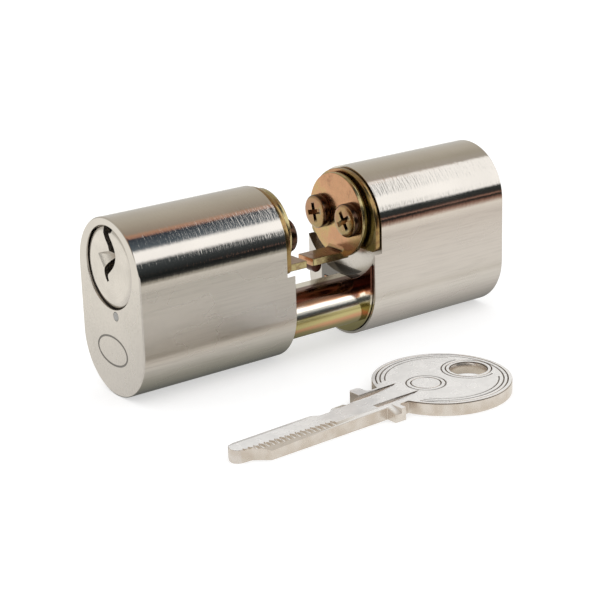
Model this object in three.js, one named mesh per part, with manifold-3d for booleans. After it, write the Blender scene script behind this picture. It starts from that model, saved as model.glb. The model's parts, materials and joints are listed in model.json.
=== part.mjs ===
// Double lock cylinder of oval section, with its loose key.
// Two housing halves are joined by a bridge. Each half holds a turning plug, five pin stacks and a cam.
// Frame: the origin is on the fixing screw's axis in the middle of the bridge. +X runs along the plugs,
// from the front half to the rear half. +Z is up, from the pins to the plugs. Lengths are millimetres.

import * as THREE from 'three';
import { mergeVertices } from 'three/addons/utils/BufferGeometryUtils.js';
import Module from 'manifold-3d';

const wasm = await Module();
wasm.setup();

// Driving dimensions. The half's own sizes are given for the front half, whose outer face looks to -X.

// Housing half: an upright oval section drawn along X.
const OUTER_FACE_X = -39.6;
const BODY_RADIUS = 9.65;
const BODY_BOTTOM_Z = -8.3;
const BODY_TOP_Z = 22.7;
const PLUG_AXIS_Z = 14.2;
const LOWER_END_X = -8.7;
const UPPER_END_X = -10.4;
const CAM_SWEEP_RADIUS = 11.2;
const HEAD_BORE_RADIUS = 7.15;
const HEAD_BORE_DEPTH = 2.7;
const PLUG_BORE_RADIUS = 6.65;

// Pin stacks, counted from the outer face.
const PIN_COUNT = 5;
const FIRST_PIN_DEPTH = 5.5;
const PIN_PITCH = 3.8;
const PIN_RADIUS = 1.4;
const CHAMBER_RADIUS = 1.65;
const PIN_CHAMFER = 0.3;
const KEY_PIN_BOTTOM_Z = 7.9;
const KEY_PIN_TIP_Z = [14.5, 15.8, 14.55, 14.65, 14.7];
const KEY_PIN_TIP_LENGTH = 1.0;
const KEY_PIN_TIP_RADIUS = 0.4;
const PIN_HOLE_TOP_Z = 17.7;
const DRIVER_TOP_Z = 7.5;
const DRIVER_BOTTOM_Z = 3.0;
const SPRING_TOP_Z = 2.7;
const SPRING_BOTTOM_Z = -5.8;
const SPRING_RADIUS = 1.05;
const SPRING_WIRE = 0.36;
const SPRING_TURNS = 5;
const CHAMBER_PLUG_TOP_Z = -6.2;
const CHAMBER_PLUG_BOTTOM_Z = -8.1;
const CHAMBER_PLUG_RADIUS = 1.5;

// Small hard pin in the outer face that stops a drill.
const DRILL_PIN_RADIUS = 0.75;
const DRILL_PIN_Y = -1.4;
const DRILL_PIN_Z = 6.1;
const DRILL_PIN_LENGTH = 2.6;

// Plug: a head in the face, a long barrel, and a keyway that opens at its top.
const PLUG_FACE_X = OUTER_FACE_X + 0.15;
const PLUG_HEAD_RADIUS = 6.85;
const PLUG_HEAD_LENGTH = 2.3;
const PLUG_BARREL_RADIUS = 6.5;
const PLUG_END_X = -8.95;
const PLUG_FACE_BEVEL = 0.25;
const KEYWAY_LENGTH = 29.0;
const KEYWAY_WIDTH = 1.95;
const KEYWAY_STEPS = 12;
const KEYWAY_CENTRE_LINE = [
  [0.4, 11.9],
  [0.65, 12.7],
  [0.3, 13.9],
  [-0.7, 15.3],
  [-1.5, 16.7],
  [-1.35, 17.8],
  [-0.6, 18.9],
  [0.15, 20.4],
  [0.4, 21.8],
];
const COUNTERSINK_RADIUS = 2.6;
const COUNTERSINK_DEPTH = 2.0;
const COUNTERSINK_Y = 0.3;
const COUNTERSINK_Z = 15.7;

// Fixed end plate between the housing and the cam.
const PLATE_BACK_X = -10.25;
const PLATE_FRONT_X = -9.25;
const PLATE_INSET = 0.3;
const PLATE_LOWER_EDGE_Z = 8.7;
const PLATE_BORE_RADIUS = 6.78;
const PLATE_PEG_RADIUS = 0.7;
const PLATE_PEG_LENGTH = 2.0;
const PLATE_PEG_Y = 7.95;
const PLATE_PEG_Z = 11.5;

// Cam: a disc screwed to the plug's inner end, with a tongue bent from it.
const CAM_BACK_X = -8.8;
const CAM_FRONT_X = -7.7;
const CAM_RADIUS = 7.7;
const TONGUE_HALF_WIDTH = 2.25;
const TONGUE_TOP_Z = 7.85;
const TONGUE_THICKNESS = 1.35;
const TONGUE_END_X = -0.7;
const TONGUE_CHAMFER = 0.7;
const LUG_FAR_X = -1.3;
const LUG_NEAR_X = -3.5;
const LUG_HALF_WIDTH = 0.9;
const LUG_BOTTOM_Z = 4.8;

// Cam screws: pan heads with a cross recess.
const SCREW_OFFSET_Y = 4.3;
const SCREW_HEAD_RADIUS = 3.05;
const SCREW_HEAD_HEIGHT = 1.6;
const SCREW_HEAD_RIM = 1.15;
const SCREW_SHOULDER_FALL = 0.15;
const SCREW_SHOULDER_RADIUS = 2.8;
const SCREW_TOP_RADIUS = 2.3;
const SCREW_SEAT_GAP = 0.05;
const SCREW_SHANK_RADIUS = 1.4;
const SCREW_SHANK_END_X = -14.8;
const SCREW_HOLE_END_X = -15.1;
const RECESS_LENGTH = 3.2;
const RECESS_WIDTH = 0.65;
const RECESS_DEPTH = 1.1;

// Bridge: a half-round bar just under the cams' sweep, a flange at each end, and a tenon in each half.
const BAR_CENTRE_Y = -2.75;
const BAR_CENTRE_Z = -1.47;
const BAR_RADIUS = 4.45;
const BAR_FAR_Y = 0.6;
const BAR_BOTTOM_Z = -4.3;
const BAR_END_X = 8.62;
const FLANGE_START_X = 8.6;
const FLANGE_END_X = 10.5;
const FLANGE_INSET = 0.6;
const FLANGE_FAR_Y = 1.5;
const FLANGE_FAR_Z = -1.5;
const TENON_HALF_WIDTH = 5.0;
const TENON_BOTTOM_Z = -2.5;
const TENON_TOP_Z = 1.5;
const TENON_END_X = 14.5;
const FIXING_HOLE_RADIUS = 2.1;
const FIXING_HOLE_END_Y = -5.0;
const DOWEL_X = 12.6;
const DOWEL_RADIUS = 1.2;
const DOWEL_TOP_Z = 1.3;
const DOWEL_BOTTOM_Z = -8.1;

// Key: it lies flat in front of the housing, its tip towards -X.
const KEY_TIP = [-40.9, -35.4];
const KEY_TURN = THREE.MathUtils.degToRad(2.2);
const KEY_THICKNESS = 2.2;
const KEY_BOW_RADIUS = 11.7;
const KEY_BOW_CENTRE = 44.1;
const KEY_HOLE_CENTRE = 50.3;
const KEY_HOLE_RADIUS = 3.15;
const KEY_NECK_HALF_WIDTH = 3.9;
const KEY_BACK = -3.65;
const KEY_TIP_EDGE = [
  [0, -0.2],
  [0.6, -1.3],
  [3.0, -1.6],
  [5.2, KEY_BACK],
];
const KEY_CUT_EDGE = [
  [28.7, 3.4],
  [24.8, 2.6],
  [22.2, 2.5],
  [20.6, 1.15],
  [18.5, 1.15],
  [17.3, 2.4],
  [2.0, 2.1],
  [0.3, 1.0],
];
const KEY_LUG_START = 28.7;
const KEY_LUG_END = 31.0;
const KEY_LUG_BACK = -5.65;
const KEY_LUG_FRONT = 6.1;
const KEY_GROOVES = [[1.5, 2.6], [-2.9, -1.65]];
const KEY_GROOVE_DEPTH = 0.7;
const KEY_GROOVE_END = 36.6;
const KEY_GROOVE_RUN_OUT = 3.5;

// Gaps between pieces, and how far a cutting tool passes the face that it cuts.
const FIT_GAP = 0.15;
const THREAD_GAP = 0.12;
const OVERCUT = 1.0;

// Steps round a curve.
const OUTLINE_STEPS = 18;
const BORE_STEPS = 32;
const SCREW_STEPS = 16;
const PIN_STEPS = 12;
const CHAMBER_STEPS = 12;
const SPRING_STEPS_PER_TURN = 8;
const KEY_STEPS = 32;

// Solids.

// A closed mesh with its shared corners merged, ready to be cut or joined.
function toSolid(geometry) {
  geometry.deleteAttribute('normal');
  geometry.deleteAttribute('uv');
  const merged = mergeVertices(geometry);
  const corners = merged.index.array;
  const triangles = [];
  for (let i = 0; i < corners.length; i += 3) {
    const [a, b, c] = corners.slice(i, i + 3);
    if (a !== b && b !== c && c !== a) {
      triangles.push(a, b, c);
    }
  }
  return new wasm.Manifold(new wasm.Mesh({
    numProp: 3,
    vertProperties: new Float32Array(merged.attributes.position.array),
    triVerts: new Uint32Array(triangles),
  }));
}

function toMesh(name, solid, material) {
  const { vertProperties, triVerts } = solid.getMesh();
  const geometry = new THREE.BufferGeometry();
  geometry.setAttribute('position', new THREE.BufferAttribute(vertProperties, 3));
  geometry.setIndex(new THREE.BufferAttribute(triVerts, 1));
  geometry.computeVertexNormals();
  const mesh = new THREE.Mesh(geometry, material);
  mesh.name = name;
  return mesh;
}

// A section drawn in (y, z), pulled along X.
function prismX(section, x0, x1) {
  const geometry = new THREE.ExtrudeGeometry(section, {
    depth: x1 - x0,
    bevelEnabled: false,
    curveSegments: OUTLINE_STEPS,
  });
  geometry.applyMatrix4(new THREE.Matrix4().makeBasis(
    new THREE.Vector3(0, 1, 0),
    new THREE.Vector3(0, 0, 1),
    new THREE.Vector3(1, 0, 0),
  ));
  geometry.translate(x0, 0, 0);
  return toSolid(geometry);
}

// A box given by its low and high corners.
function block(low, high) {
  const size = high.map((value, i) => value - low[i]);
  const geometry = new THREE.BoxGeometry(...size);
  geometry.translate(...low.map((value, i) => value + size[i] / 2));
  return toSolid(geometry);
}

// A rod along X, centred on (y, z).
function rodX(radius, x0, x1, y, z, steps = BORE_STEPS) {
  const geometry = new THREE.CylinderGeometry(radius, radius, x1 - x0, steps);
  geometry.rotateZ(-Math.PI / 2);
  geometry.translate((x0 + x1) / 2, y, z);
  return toSolid(geometry);
}

// A rod along Y, centred on (x, z).
function rodY(radius, y0, y1, x, z, steps) {
  const geometry = new THREE.CylinderGeometry(radius, radius, y1 - y0, steps);
  geometry.translate(x, (y0 + y1) / 2, z);
  return toSolid(geometry);
}

// A rod along Z, centred on (x, 0).
function rodZ(radius, z0, z1, x, steps = CHAMBER_STEPS) {
  const geometry = new THREE.CylinderGeometry(radius, radius, z1 - z0, steps);
  geometry.rotateX(Math.PI / 2);
  geometry.translate(x, 0, (z0 + z1) / 2);
  return toSolid(geometry);
}

// A turned piece on an axis along X through (y, z). Its profile lists [x, radius] from low x to high x.
function turnedX(profile, y, z, steps) {
  const points = profile.map(([x, radius]) => new THREE.Vector2(radius, x));
  const geometry = new THREE.LatheGeometry(points, steps);
  geometry.rotateZ(-Math.PI / 2);
  geometry.translate(0, y, z);
  return toSolid(geometry);
}

// A turned piece on the upright axis at x. Its profile lists [radius, z] from low z to high z.
function turnedZ(profile, x, steps) {
  const points = profile.map(([radius, z]) => new THREE.Vector2(radius, z));
  const geometry = new THREE.LatheGeometry(points, steps);
  geometry.rotateX(Math.PI / 2);
  geometry.translate(x, 0, 0);
  return toSolid(geometry);
}

// Sections.

// The housing's oval outline, drawn in by an inset.
function ovalSection(inset) {
  const radius = BODY_RADIUS - inset;
  const lowCentre = BODY_BOTTOM_Z + BODY_RADIUS;
  const highCentre = BODY_TOP_Z - BODY_RADIUS;
  const section = new THREE.Shape();
  section.moveTo(radius, lowCentre);
  section.lineTo(radius, highCentre);
  section.absarc(0, highCentre, radius, 0, Math.PI, false);
  section.lineTo(-radius, lowCentre);
  section.absarc(0, lowCentre, radius, Math.PI, 2 * Math.PI, false);
  return section;
}

// The winding slot of the keyway: a band of even width about its centre line.
function keywaySection() {
  const centreLine = new THREE.SplineCurve(KEYWAY_CENTRE_LINE.map(([y, z]) => new THREE.Vector2(y, z)));
  const left = [];
  const right = [];
  for (let i = 0; i <= KEYWAY_STEPS; i += 1) {
    const point = centreLine.getPoint(i / KEYWAY_STEPS);
    const along = centreLine.getTangent(i / KEYWAY_STEPS);
    const aside = new THREE.Vector2(-along.y, along.x).multiplyScalar(KEYWAY_WIDTH / 2);
    left.push(point.clone().add(aside));
    right.push(point.clone().sub(aside));
  }
  return new THREE.Shape([...right, ...left.reverse()]);
}

// The bridge bar's outline: round on the near side, flat on top, beneath and on the far side.
function barSection() {
  const footAngle = Math.PI + Math.asin((BAR_CENTRE_Z - BAR_BOTTOM_Z) / BAR_RADIUS);
  const section = new THREE.Shape();
  section.moveTo(BAR_FAR_Y, BAR_BOTTOM_Z);
  section.lineTo(BAR_FAR_Y, BAR_CENTRE_Z + BAR_RADIUS);
  section.absarc(BAR_CENTRE_Y, BAR_CENTRE_Z, BAR_RADIUS, Math.PI / 2, footAngle, false);
  return section;
}

// The key's plan: along the blade from the tip, then across it towards the cut edge.
function keySection() {
  const neckMeetsBow = KEY_BOW_CENTRE - Math.sqrt(KEY_BOW_RADIUS ** 2 - KEY_NECK_HALF_WIDTH ** 2);
  const bowStartAngle = Math.asin(KEY_NECK_HALF_WIDTH / KEY_BOW_RADIUS);
  const section = new THREE.Shape();
  section.moveTo(...KEY_TIP_EDGE[0]);
  for (const point of KEY_TIP_EDGE.slice(1)) {
    section.lineTo(...point);
  }
  section.lineTo(KEY_LUG_START, KEY_BACK);
  section.lineTo(KEY_LUG_START, KEY_LUG_BACK);
  section.lineTo(KEY_LUG_END, KEY_LUG_BACK);
  section.lineTo(KEY_LUG_END, -KEY_NECK_HALF_WIDTH);
  section.lineTo(neckMeetsBow, -KEY_NECK_HALF_WIDTH);
  section.absarc(KEY_BOW_CENTRE, 0, KEY_BOW_RADIUS, bowStartAngle - Math.PI, Math.PI - bowStartAngle, false);
  section.lineTo(KEY_LUG_END, KEY_NECK_HALF_WIDTH);
  section.lineTo(KEY_LUG_END, KEY_LUG_FRONT);
  section.lineTo(KEY_LUG_START, KEY_LUG_FRONT);
  for (const point of KEY_CUT_EDGE) {
    section.lineTo(...point);
  }
  const hole = new THREE.Path();
  hole.absarc(KEY_HOLE_CENTRE, 0, KEY_HOLE_RADIUS, 0, 2 * Math.PI, true);
  section.holes.push(hole);
  return section;
}

// Pieces of one half.

function pinX(index) {
  return OUTER_FACE_X + FIRST_PIN_DEPTH + PIN_PITCH * index;
}

function bodySolid(awaySide) {
  const camSweep = rodX(CAM_SWEEP_RADIUS, UPPER_END_X, LOWER_END_X + OVERCUT, 0, PLUG_AXIS_Z);
  const headBore = rodX(HEAD_BORE_RADIUS, OUTER_FACE_X - OVERCUT, OUTER_FACE_X + HEAD_BORE_DEPTH, 0, PLUG_AXIS_Z);
  const plugBore = rodX(PLUG_BORE_RADIUS, OUTER_FACE_X, LOWER_END_X, 0, PLUG_AXIS_Z);
  const drillPinHole = rodX(
    DRILL_PIN_RADIUS + FIT_GAP,
    OUTER_FACE_X - OVERCUT,
    OUTER_FACE_X + DRILL_PIN_LENGTH + 2 * FIT_GAP,
    DRILL_PIN_Y,
    DRILL_PIN_Z,
    PIN_STEPS,
  );
  const flangePocket = flangeSolid(
    LOWER_END_X + OVERCUT,
    -FLANGE_END_X - 2 * FIT_GAP,
    FLANGE_INSET - FIT_GAP,
    awaySide,
  );
  const tenonPocket = block(
    [-TENON_END_X - 2 * FIT_GAP, -TENON_HALF_WIDTH - FIT_GAP, TENON_BOTTOM_Z - FIT_GAP],
    [LOWER_END_X, TENON_HALF_WIDTH + FIT_GAP, TENON_TOP_Z + FIT_GAP],
  );
  const dowelHole = rodZ(DOWEL_RADIUS + FIT_GAP, BODY_BOTTOM_Z - OVERCUT, TENON_BOTTOM_Z, -DOWEL_X);
  let body = prismX(ovalSection(0), OUTER_FACE_X, LOWER_END_X)
    .subtract(camSweep)
    .subtract(headBore)
    .subtract(plugBore)
    .subtract(drillPinHole)
    .subtract(flangePocket)
    .subtract(tenonPocket)
    .subtract(dowelHole);
  for (let index = 0; index < PIN_COUNT; index += 1) {
    body = body.subtract(rodZ(CHAMBER_RADIUS, BODY_BOTTOM_Z - OVERCUT, PLUG_AXIS_Z, pinX(index)));
  }
  for (const y of [-PLATE_PEG_Y, PLATE_PEG_Y]) {
    body = body.subtract(rodX(
      PLATE_PEG_RADIUS + FIT_GAP,
      PLATE_BACK_X - PLATE_PEG_LENGTH - 2 * FIT_GAP,
      UPPER_END_X + OVERCUT,
      y,
      PLATE_PEG_Z,
      PIN_STEPS,
    ));
  }
  return body;
}

function plugSolid() {
  const headEndX = PLUG_FACE_X + PLUG_HEAD_LENGTH;
  const turned = turnedX([
    [PLUG_FACE_X, 0],
    [PLUG_FACE_X, PLUG_HEAD_RADIUS - PLUG_FACE_BEVEL],
    [PLUG_FACE_X + PLUG_FACE_BEVEL, PLUG_HEAD_RADIUS],
    [headEndX, PLUG_HEAD_RADIUS],
    [headEndX, PLUG_BARREL_RADIUS],
    [PLUG_END_X, PLUG_BARREL_RADIUS],
    [PLUG_END_X, 0],
  ], 0, PLUG_AXIS_Z, BORE_STEPS);
  const keyway = prismX(keywaySection(), PLUG_FACE_X - OVERCUT, PLUG_FACE_X + KEYWAY_LENGTH);
  const countersink = turnedX([
    [PLUG_FACE_X - COUNTERSINK_DEPTH, 0],
    [PLUG_FACE_X - COUNTERSINK_DEPTH, 2 * COUNTERSINK_RADIUS],
    [PLUG_FACE_X + COUNTERSINK_DEPTH, 0],
  ], COUNTERSINK_Y, COUNTERSINK_Z, SCREW_STEPS);
  let plug = turned.subtract(keyway).subtract(countersink);
  for (let index = 0; index < PIN_COUNT; index += 1) {
    plug = plug.subtract(rodZ(CHAMBER_RADIUS, 0, PIN_HOLE_TOP_Z, pinX(index)));
  }
  for (const y of [-SCREW_OFFSET_Y, SCREW_OFFSET_Y]) {
    plug = plug.subtract(rodX(
      SCREW_SHANK_RADIUS + THREAD_GAP,
      SCREW_HOLE_END_X,
      PLUG_END_X + OVERCUT,
      y,
      PLUG_AXIS_Z,
      SCREW_STEPS,
    ));
  }
  return plug;
}

function drillPinSolid() {
  return rodX(
    DRILL_PIN_RADIUS,
    OUTER_FACE_X,
    OUTER_FACE_X + DRILL_PIN_LENGTH,
    DRILL_PIN_Y,
    DRILL_PIN_Z,
    PIN_STEPS,
  );
}

// A ring that follows the housing's top, open below, with two pegs that sit in the housing's end.
function endPlateSolid() {
  const outer = prismX(ovalSection(PLATE_INSET), PLATE_BACK_X, PLATE_FRONT_X);
  const belowEdge = block(
    [PLATE_BACK_X - OVERCUT, -2 * BODY_RADIUS, BODY_BOTTOM_Z - OVERCUT],
    [PLATE_FRONT_X + OVERCUT, 2 * BODY_RADIUS, PLATE_LOWER_EDGE_Z],
  );
  const bore = rodX(PLATE_BORE_RADIUS, PLATE_BACK_X - OVERCUT, PLATE_FRONT_X + OVERCUT, 0, PLUG_AXIS_Z);
  let plate = outer.subtract(belowEdge).subtract(bore);
  for (const y of [-PLATE_PEG_Y, PLATE_PEG_Y]) {
    const pegEndX = PLATE_BACK_X - PLATE_PEG_LENGTH;
    plate = plate.add(rodX(PLATE_PEG_RADIUS, pegEndX, PLATE_FRONT_X, y, PLATE_PEG_Z, PIN_STEPS));
  }
  return plate;
}

// The tongue seen from above: a strip whose free corners are cut off.
function tongueSolid() {
  const bottomZ = TONGUE_TOP_Z - TONGUE_THICKNESS;
  const strip = block(
    [CAM_BACK_X, -TONGUE_HALF_WIDTH, bottomZ],
    [TONGUE_END_X, TONGUE_HALF_WIDTH, TONGUE_TOP_Z],
  );
  const corner = new THREE.Shape([
    new THREE.Vector2(TONGUE_END_X - TONGUE_CHAMFER, TONGUE_HALF_WIDTH + OVERCUT),
    new THREE.Vector2(TONGUE_END_X - TONGUE_CHAMFER, TONGUE_HALF_WIDTH),
    new THREE.Vector2(TONGUE_END_X, TONGUE_HALF_WIDTH - TONGUE_CHAMFER),
    new THREE.Vector2(TONGUE_END_X + OVERCUT, TONGUE_HALF_WIDTH - TONGUE_CHAMFER),
    new THREE.Vector2(TONGUE_END_X + OVERCUT, TONGUE_HALF_WIDTH + OVERCUT),
  ]);
  const cutter = new THREE.ExtrudeGeometry(corner, {
    depth: TONGUE_THICKNESS + 2 * OVERCUT,
    bevelEnabled: false,
  });
  cutter.translate(0, 0, bottomZ - OVERCUT);
  const farCorner = toSolid(cutter);
  return strip.subtract(farCorner).subtract(farCorner.mirror([0, 1, 0]));
}

function camSolid(withLug) {
  let cam = rodX(CAM_RADIUS, CAM_BACK_X, CAM_FRONT_X, 0, PLUG_AXIS_Z).add(tongueSolid());
  for (const y of [-SCREW_OFFSET_Y, SCREW_OFFSET_Y]) {
    cam = cam.subtract(rodX(
      SCREW_SHANK_RADIUS + THREAD_GAP,
      CAM_BACK_X - OVERCUT,
      CAM_FRONT_X + OVERCUT,
      y,
      PLUG_AXIS_Z,
      SCREW_STEPS,
    ));
  }
  if (withLug) {
    const lug = block(
      [LUG_NEAR_X, -LUG_HALF_WIDTH, LUG_BOTTOM_Z],
      [LUG_FAR_X, LUG_HALF_WIDTH, TONGUE_TOP_Z - TONGUE_THICKNESS / 2],
    );
    cam = cam.add(lug);
  }
  return cam;
}

function camScrewSolid(y) {
  const seatX = CAM_FRONT_X + SCREW_SEAT_GAP;
  const headTopX = seatX + SCREW_HEAD_HEIGHT;
  const rimX = seatX + SCREW_HEAD_RIM;
  const screw = turnedX([
    [SCREW_SHANK_END_X, 0],
    [SCREW_SHANK_END_X, SCREW_SHANK_RADIUS],
    [seatX, SCREW_SHANK_RADIUS],
    [seatX, SCREW_HEAD_RADIUS],
    [rimX, SCREW_HEAD_RADIUS],
    [headTopX - SCREW_SHOULDER_FALL, SCREW_SHOULDER_RADIUS],
    [headTopX, SCREW_TOP_RADIUS],
    [headTopX, 0],
  ], y, PLUG_AXIS_Z, SCREW_STEPS);
  const recessArm = (halfY, halfZ) => block(
    [headTopX - RECESS_DEPTH, y - halfY, PLUG_AXIS_Z - halfZ],
    [headTopX + OVERCUT, y + halfY, PLUG_AXIS_Z + halfZ],
  );
  const recess = recessArm(RECESS_LENGTH / 2, RECESS_WIDTH / 2).add(recessArm(RECESS_WIDTH / 2, RECESS_LENGTH / 2));
  return screw.subtract(recess);
}

function keyPinSolid(index) {
  const tipZ = KEY_PIN_TIP_Z[index];
  return turnedZ([
    [0, KEY_PIN_BOTTOM_Z],
    [PIN_RADIUS - PIN_CHAMFER, KEY_PIN_BOTTOM_Z],
    [PIN_RADIUS, KEY_PIN_BOTTOM_Z + PIN_CHAMFER],
    [PIN_RADIUS, tipZ - KEY_PIN_TIP_LENGTH],
    [KEY_PIN_TIP_RADIUS, tipZ],
    [0, tipZ],
  ], pinX(index), PIN_STEPS);
}

function driverPinSolid(index) {
  return turnedZ([
    [0, DRIVER_BOTTOM_Z],
    [PIN_RADIUS - PIN_CHAMFER, DRIVER_BOTTOM_Z],
    [PIN_RADIUS, DRIVER_BOTTOM_Z + PIN_CHAMFER],
    [PIN_RADIUS, DRIVER_TOP_Z - PIN_CHAMFER],
    [PIN_RADIUS - PIN_CHAMFER, DRIVER_TOP_Z],
    [0, DRIVER_TOP_Z],
  ], pinX(index), PIN_STEPS);
}

class SpringLine extends THREE.Curve {
  constructor(x) {
    super();
    this.x = x;
  }

  getPoint(t) {
    const angle = 2 * Math.PI * SPRING_TURNS * t;
    const lowZ = SPRING_BOTTOM_Z + SPRING_WIRE / 2;
    const highZ = SPRING_TOP_Z - SPRING_WIRE / 2;
    return new THREE.Vector3(
      this.x + SPRING_RADIUS * Math.cos(angle),
      SPRING_RADIUS * Math.sin(angle),
      lowZ + (highZ - lowZ) * t,
    );
  }
}

function springSolid(index) {
  const half = SPRING_WIRE / 2;
  const wire = new THREE.Shape([
    new THREE.Vector2(-half, -half),
    new THREE.Vector2(half, -half),
    new THREE.Vector2(half, half),
    new THREE.Vector2(-half, half),
  ]);
  return toSolid(new THREE.ExtrudeGeometry(wire, {
    steps: SPRING_TURNS * SPRING_STEPS_PER_TURN,
    extrudePath: new SpringLine(pinX(index)),
  }));
}

function chamberPlugSolid(index) {
  return rodZ(CHAMBER_PLUG_RADIUS, CHAMBER_PLUG_BOTTOM_Z, CHAMBER_PLUG_TOP_Z, pinX(index));
}

function dowelSolid() {
  return rodZ(DOWEL_RADIUS, DOWEL_BOTTOM_Z, DOWEL_TOP_Z, -DOWEL_X);
}

// Pieces that belong to both halves, and the key.

// The oval's lower part, drawn in from its edge and from the cams' sweep, and cut low on the side away
// from the bar. awaySide is 1 where that side is +Y.
function flangeSolid(xa, xb, inset, awaySide) {
  const low = Math.min(xa, xb);
  const high = Math.max(xa, xb);
  const sweep = rodX(CAM_SWEEP_RADIUS + inset, low - OVERCUT, high + OVERCUT, 0, PLUG_AXIS_Z);
  const above = block(
    [low - OVERCUT, -2 * BODY_RADIUS, PLUG_AXIS_Z],
    [high + OVERCUT, 2 * BODY_RADIUS, BODY_TOP_Z + OVERCUT],
  );
  const play = FLANGE_INSET - inset;
  const awayY = [awaySide * (FLANGE_FAR_Y + play), awaySide * 2 * BODY_RADIUS].sort((a, b) => a - b);
  const away = block(
    [low - OVERCUT, awayY[0], FLANGE_FAR_Z + play],
    [high + OVERCUT, awayY[1], BODY_TOP_Z],
  );
  return prismX(ovalSection(inset), low, high).subtract(sweep).subtract(above).subtract(away);
}

function bridgeSolid() {
  let bridge = prismX(barSection(), -BAR_END_X, BAR_END_X);
  for (const side of [-1, 1]) {
    const tenonEnds = [side * FLANGE_START_X, side * TENON_END_X].sort((a, b) => a - b);
    const tenon = block(
      [tenonEnds[0], -TENON_HALF_WIDTH, TENON_BOTTOM_Z],
      [tenonEnds[1], TENON_HALF_WIDTH, TENON_TOP_Z],
    );
    bridge = bridge
      .add(flangeSolid(side * FLANGE_START_X, side * FLANGE_END_X, FLANGE_INSET, 1))
      .add(tenon)
      .subtract(rodZ(DOWEL_RADIUS + FIT_GAP, TENON_BOTTOM_Z - OVERCUT, TENON_TOP_Z + OVERCUT, side * DOWEL_X));
  }
  const fixingHole = rodY(FIXING_HOLE_RADIUS, FIXING_HOLE_END_Y, BODY_RADIUS + OVERCUT, 0, 0, SCREW_STEPS);
  return bridge.subtract(fixingHole);
}

// One milled groove in the key's upper face, which rises to nothing towards the bow.
function keyGroove([across0, across1]) {
  const bottom = KEY_THICKNESS - KEY_GROOVE_DEPTH;
  const side = new THREE.Shape([
    new THREE.Vector2(-OVERCUT, bottom),
    new THREE.Vector2(KEY_GROOVE_END - KEY_GROOVE_RUN_OUT, bottom),
    new THREE.Vector2(KEY_GROOVE_END, KEY_THICKNESS),
    new THREE.Vector2(KEY_GROOVE_END, KEY_THICKNESS + OVERCUT),
    new THREE.Vector2(-OVERCUT, KEY_THICKNESS + OVERCUT),
  ]);
  const geometry = new THREE.ExtrudeGeometry(side, { depth: across1 - across0, bevelEnabled: false });
  geometry.rotateX(Math.PI / 2);
  geometry.translate(0, across1, 0);
  return toSolid(geometry);
}

function keySolid() {
  const geometry = new THREE.ExtrudeGeometry(keySection(), {
    depth: KEY_THICKNESS,
    bevelEnabled: false,
    curveSegments: KEY_STEPS,
  });
  let key = toSolid(geometry);
  for (const groove of KEY_GROOVES) {
    key = key.subtract(keyGroove(groove));
  }
  return key;
}

// Materials.

function satinNickel() {
  return new THREE.MeshStandardMaterial({ color: 0xc8c3be, roughness: 0.35, metalness: 0.9 });
}

function yellowChromate() {
  return new THREE.MeshStandardMaterial({ color: 0xb08a58, roughness: 0.35, metalness: 0.85 });
}

function hardSteel() {
  return new THREE.MeshStandardMaterial({ color: 0x8a8a88, roughness: 0.4, metalness: 0.9 });
}

function plainBrass() {
  return new THREE.MeshStandardMaterial({ color: 0xc2a55c, roughness: 0.35, metalness: 0.9 });
}

function springSteel() {
  return new THREE.MeshStandardMaterial({ color: 0xa0a4a8, roughness: 0.3, metalness: 0.9 });
}

function brightNickelSilver() {
  return new THREE.MeshStandardMaterial({ color: 0xd8d4cf, roughness: 0.25, metalness: 0.95 });
}

// Assembly.

function makeHalf(side, withLug, awaySide) {
  const half = new THREE.Group();
  half.add(toMesh(`${side}_body`, bodySolid(awaySide), satinNickel()));
  half.add(toMesh(`${side}_plug`, plugSolid(), satinNickel()));
  half.add(toMesh(`${side}_anti_drill_pin`, drillPinSolid(), hardSteel()));
  half.add(toMesh(`${side}_end_plate`, endPlateSolid(), yellowChromate()));
  half.add(toMesh(`${side}_cam`, camSolid(withLug), yellowChromate()));
  half.add(toMesh(`${side}_cam_screw_1`, camScrewSolid(-SCREW_OFFSET_Y), yellowChromate()));
  half.add(toMesh(`${side}_cam_screw_2`, camScrewSolid(SCREW_OFFSET_Y), yellowChromate()));
  half.add(toMesh(`${side}_bridge_dowel`, dowelSolid(), hardSteel()));
  for (let index = 0; index < PIN_COUNT; index += 1) {
    const number = index + 1;
    half.add(toMesh(`${side}_key_pin_${number}`, keyPinSolid(index), plainBrass()));
    half.add(toMesh(`${side}_driver_pin_${number}`, driverPinSolid(index), plainBrass()));
    half.add(toMesh(`${side}_spring_${number}`, springSolid(index), springSteel()));
    half.add(toMesh(`${side}_chamber_plug_${number}`, chamberPlugSolid(index), plainBrass()));
  }
  return half;
}

function makeKey() {
  const key = new THREE.Group();
  key.add(toMesh('key', keySolid(), brightNickelSilver()));
  key.rotation.z = KEY_TURN;
  key.position.set(KEY_TIP[0], KEY_TIP[1], BODY_BOTTOM_Z);
  return key;
}

const lock = new THREE.Group();
const rearHalf = makeHalf('rear', true, -1);
rearHalf.rotation.z = Math.PI;
lock.add(makeHalf('front', false, 1));
lock.add(rearHalf);
lock.add(toMesh('bridge', bridgeSolid(), yellowChromate()));
lock.add(makeKey());

export default lock;
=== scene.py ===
"""Double lock cylinder of oval section with its loose key, laid out as an add-on.

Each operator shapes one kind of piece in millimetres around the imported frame, and smooth_piece() brings it
to the frame's metres. Run as a script, main() registers the classes and calls the operators in order.
"""

import json
import math

import bmesh
import bpy
from mathutils import Matrix, Vector


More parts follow.
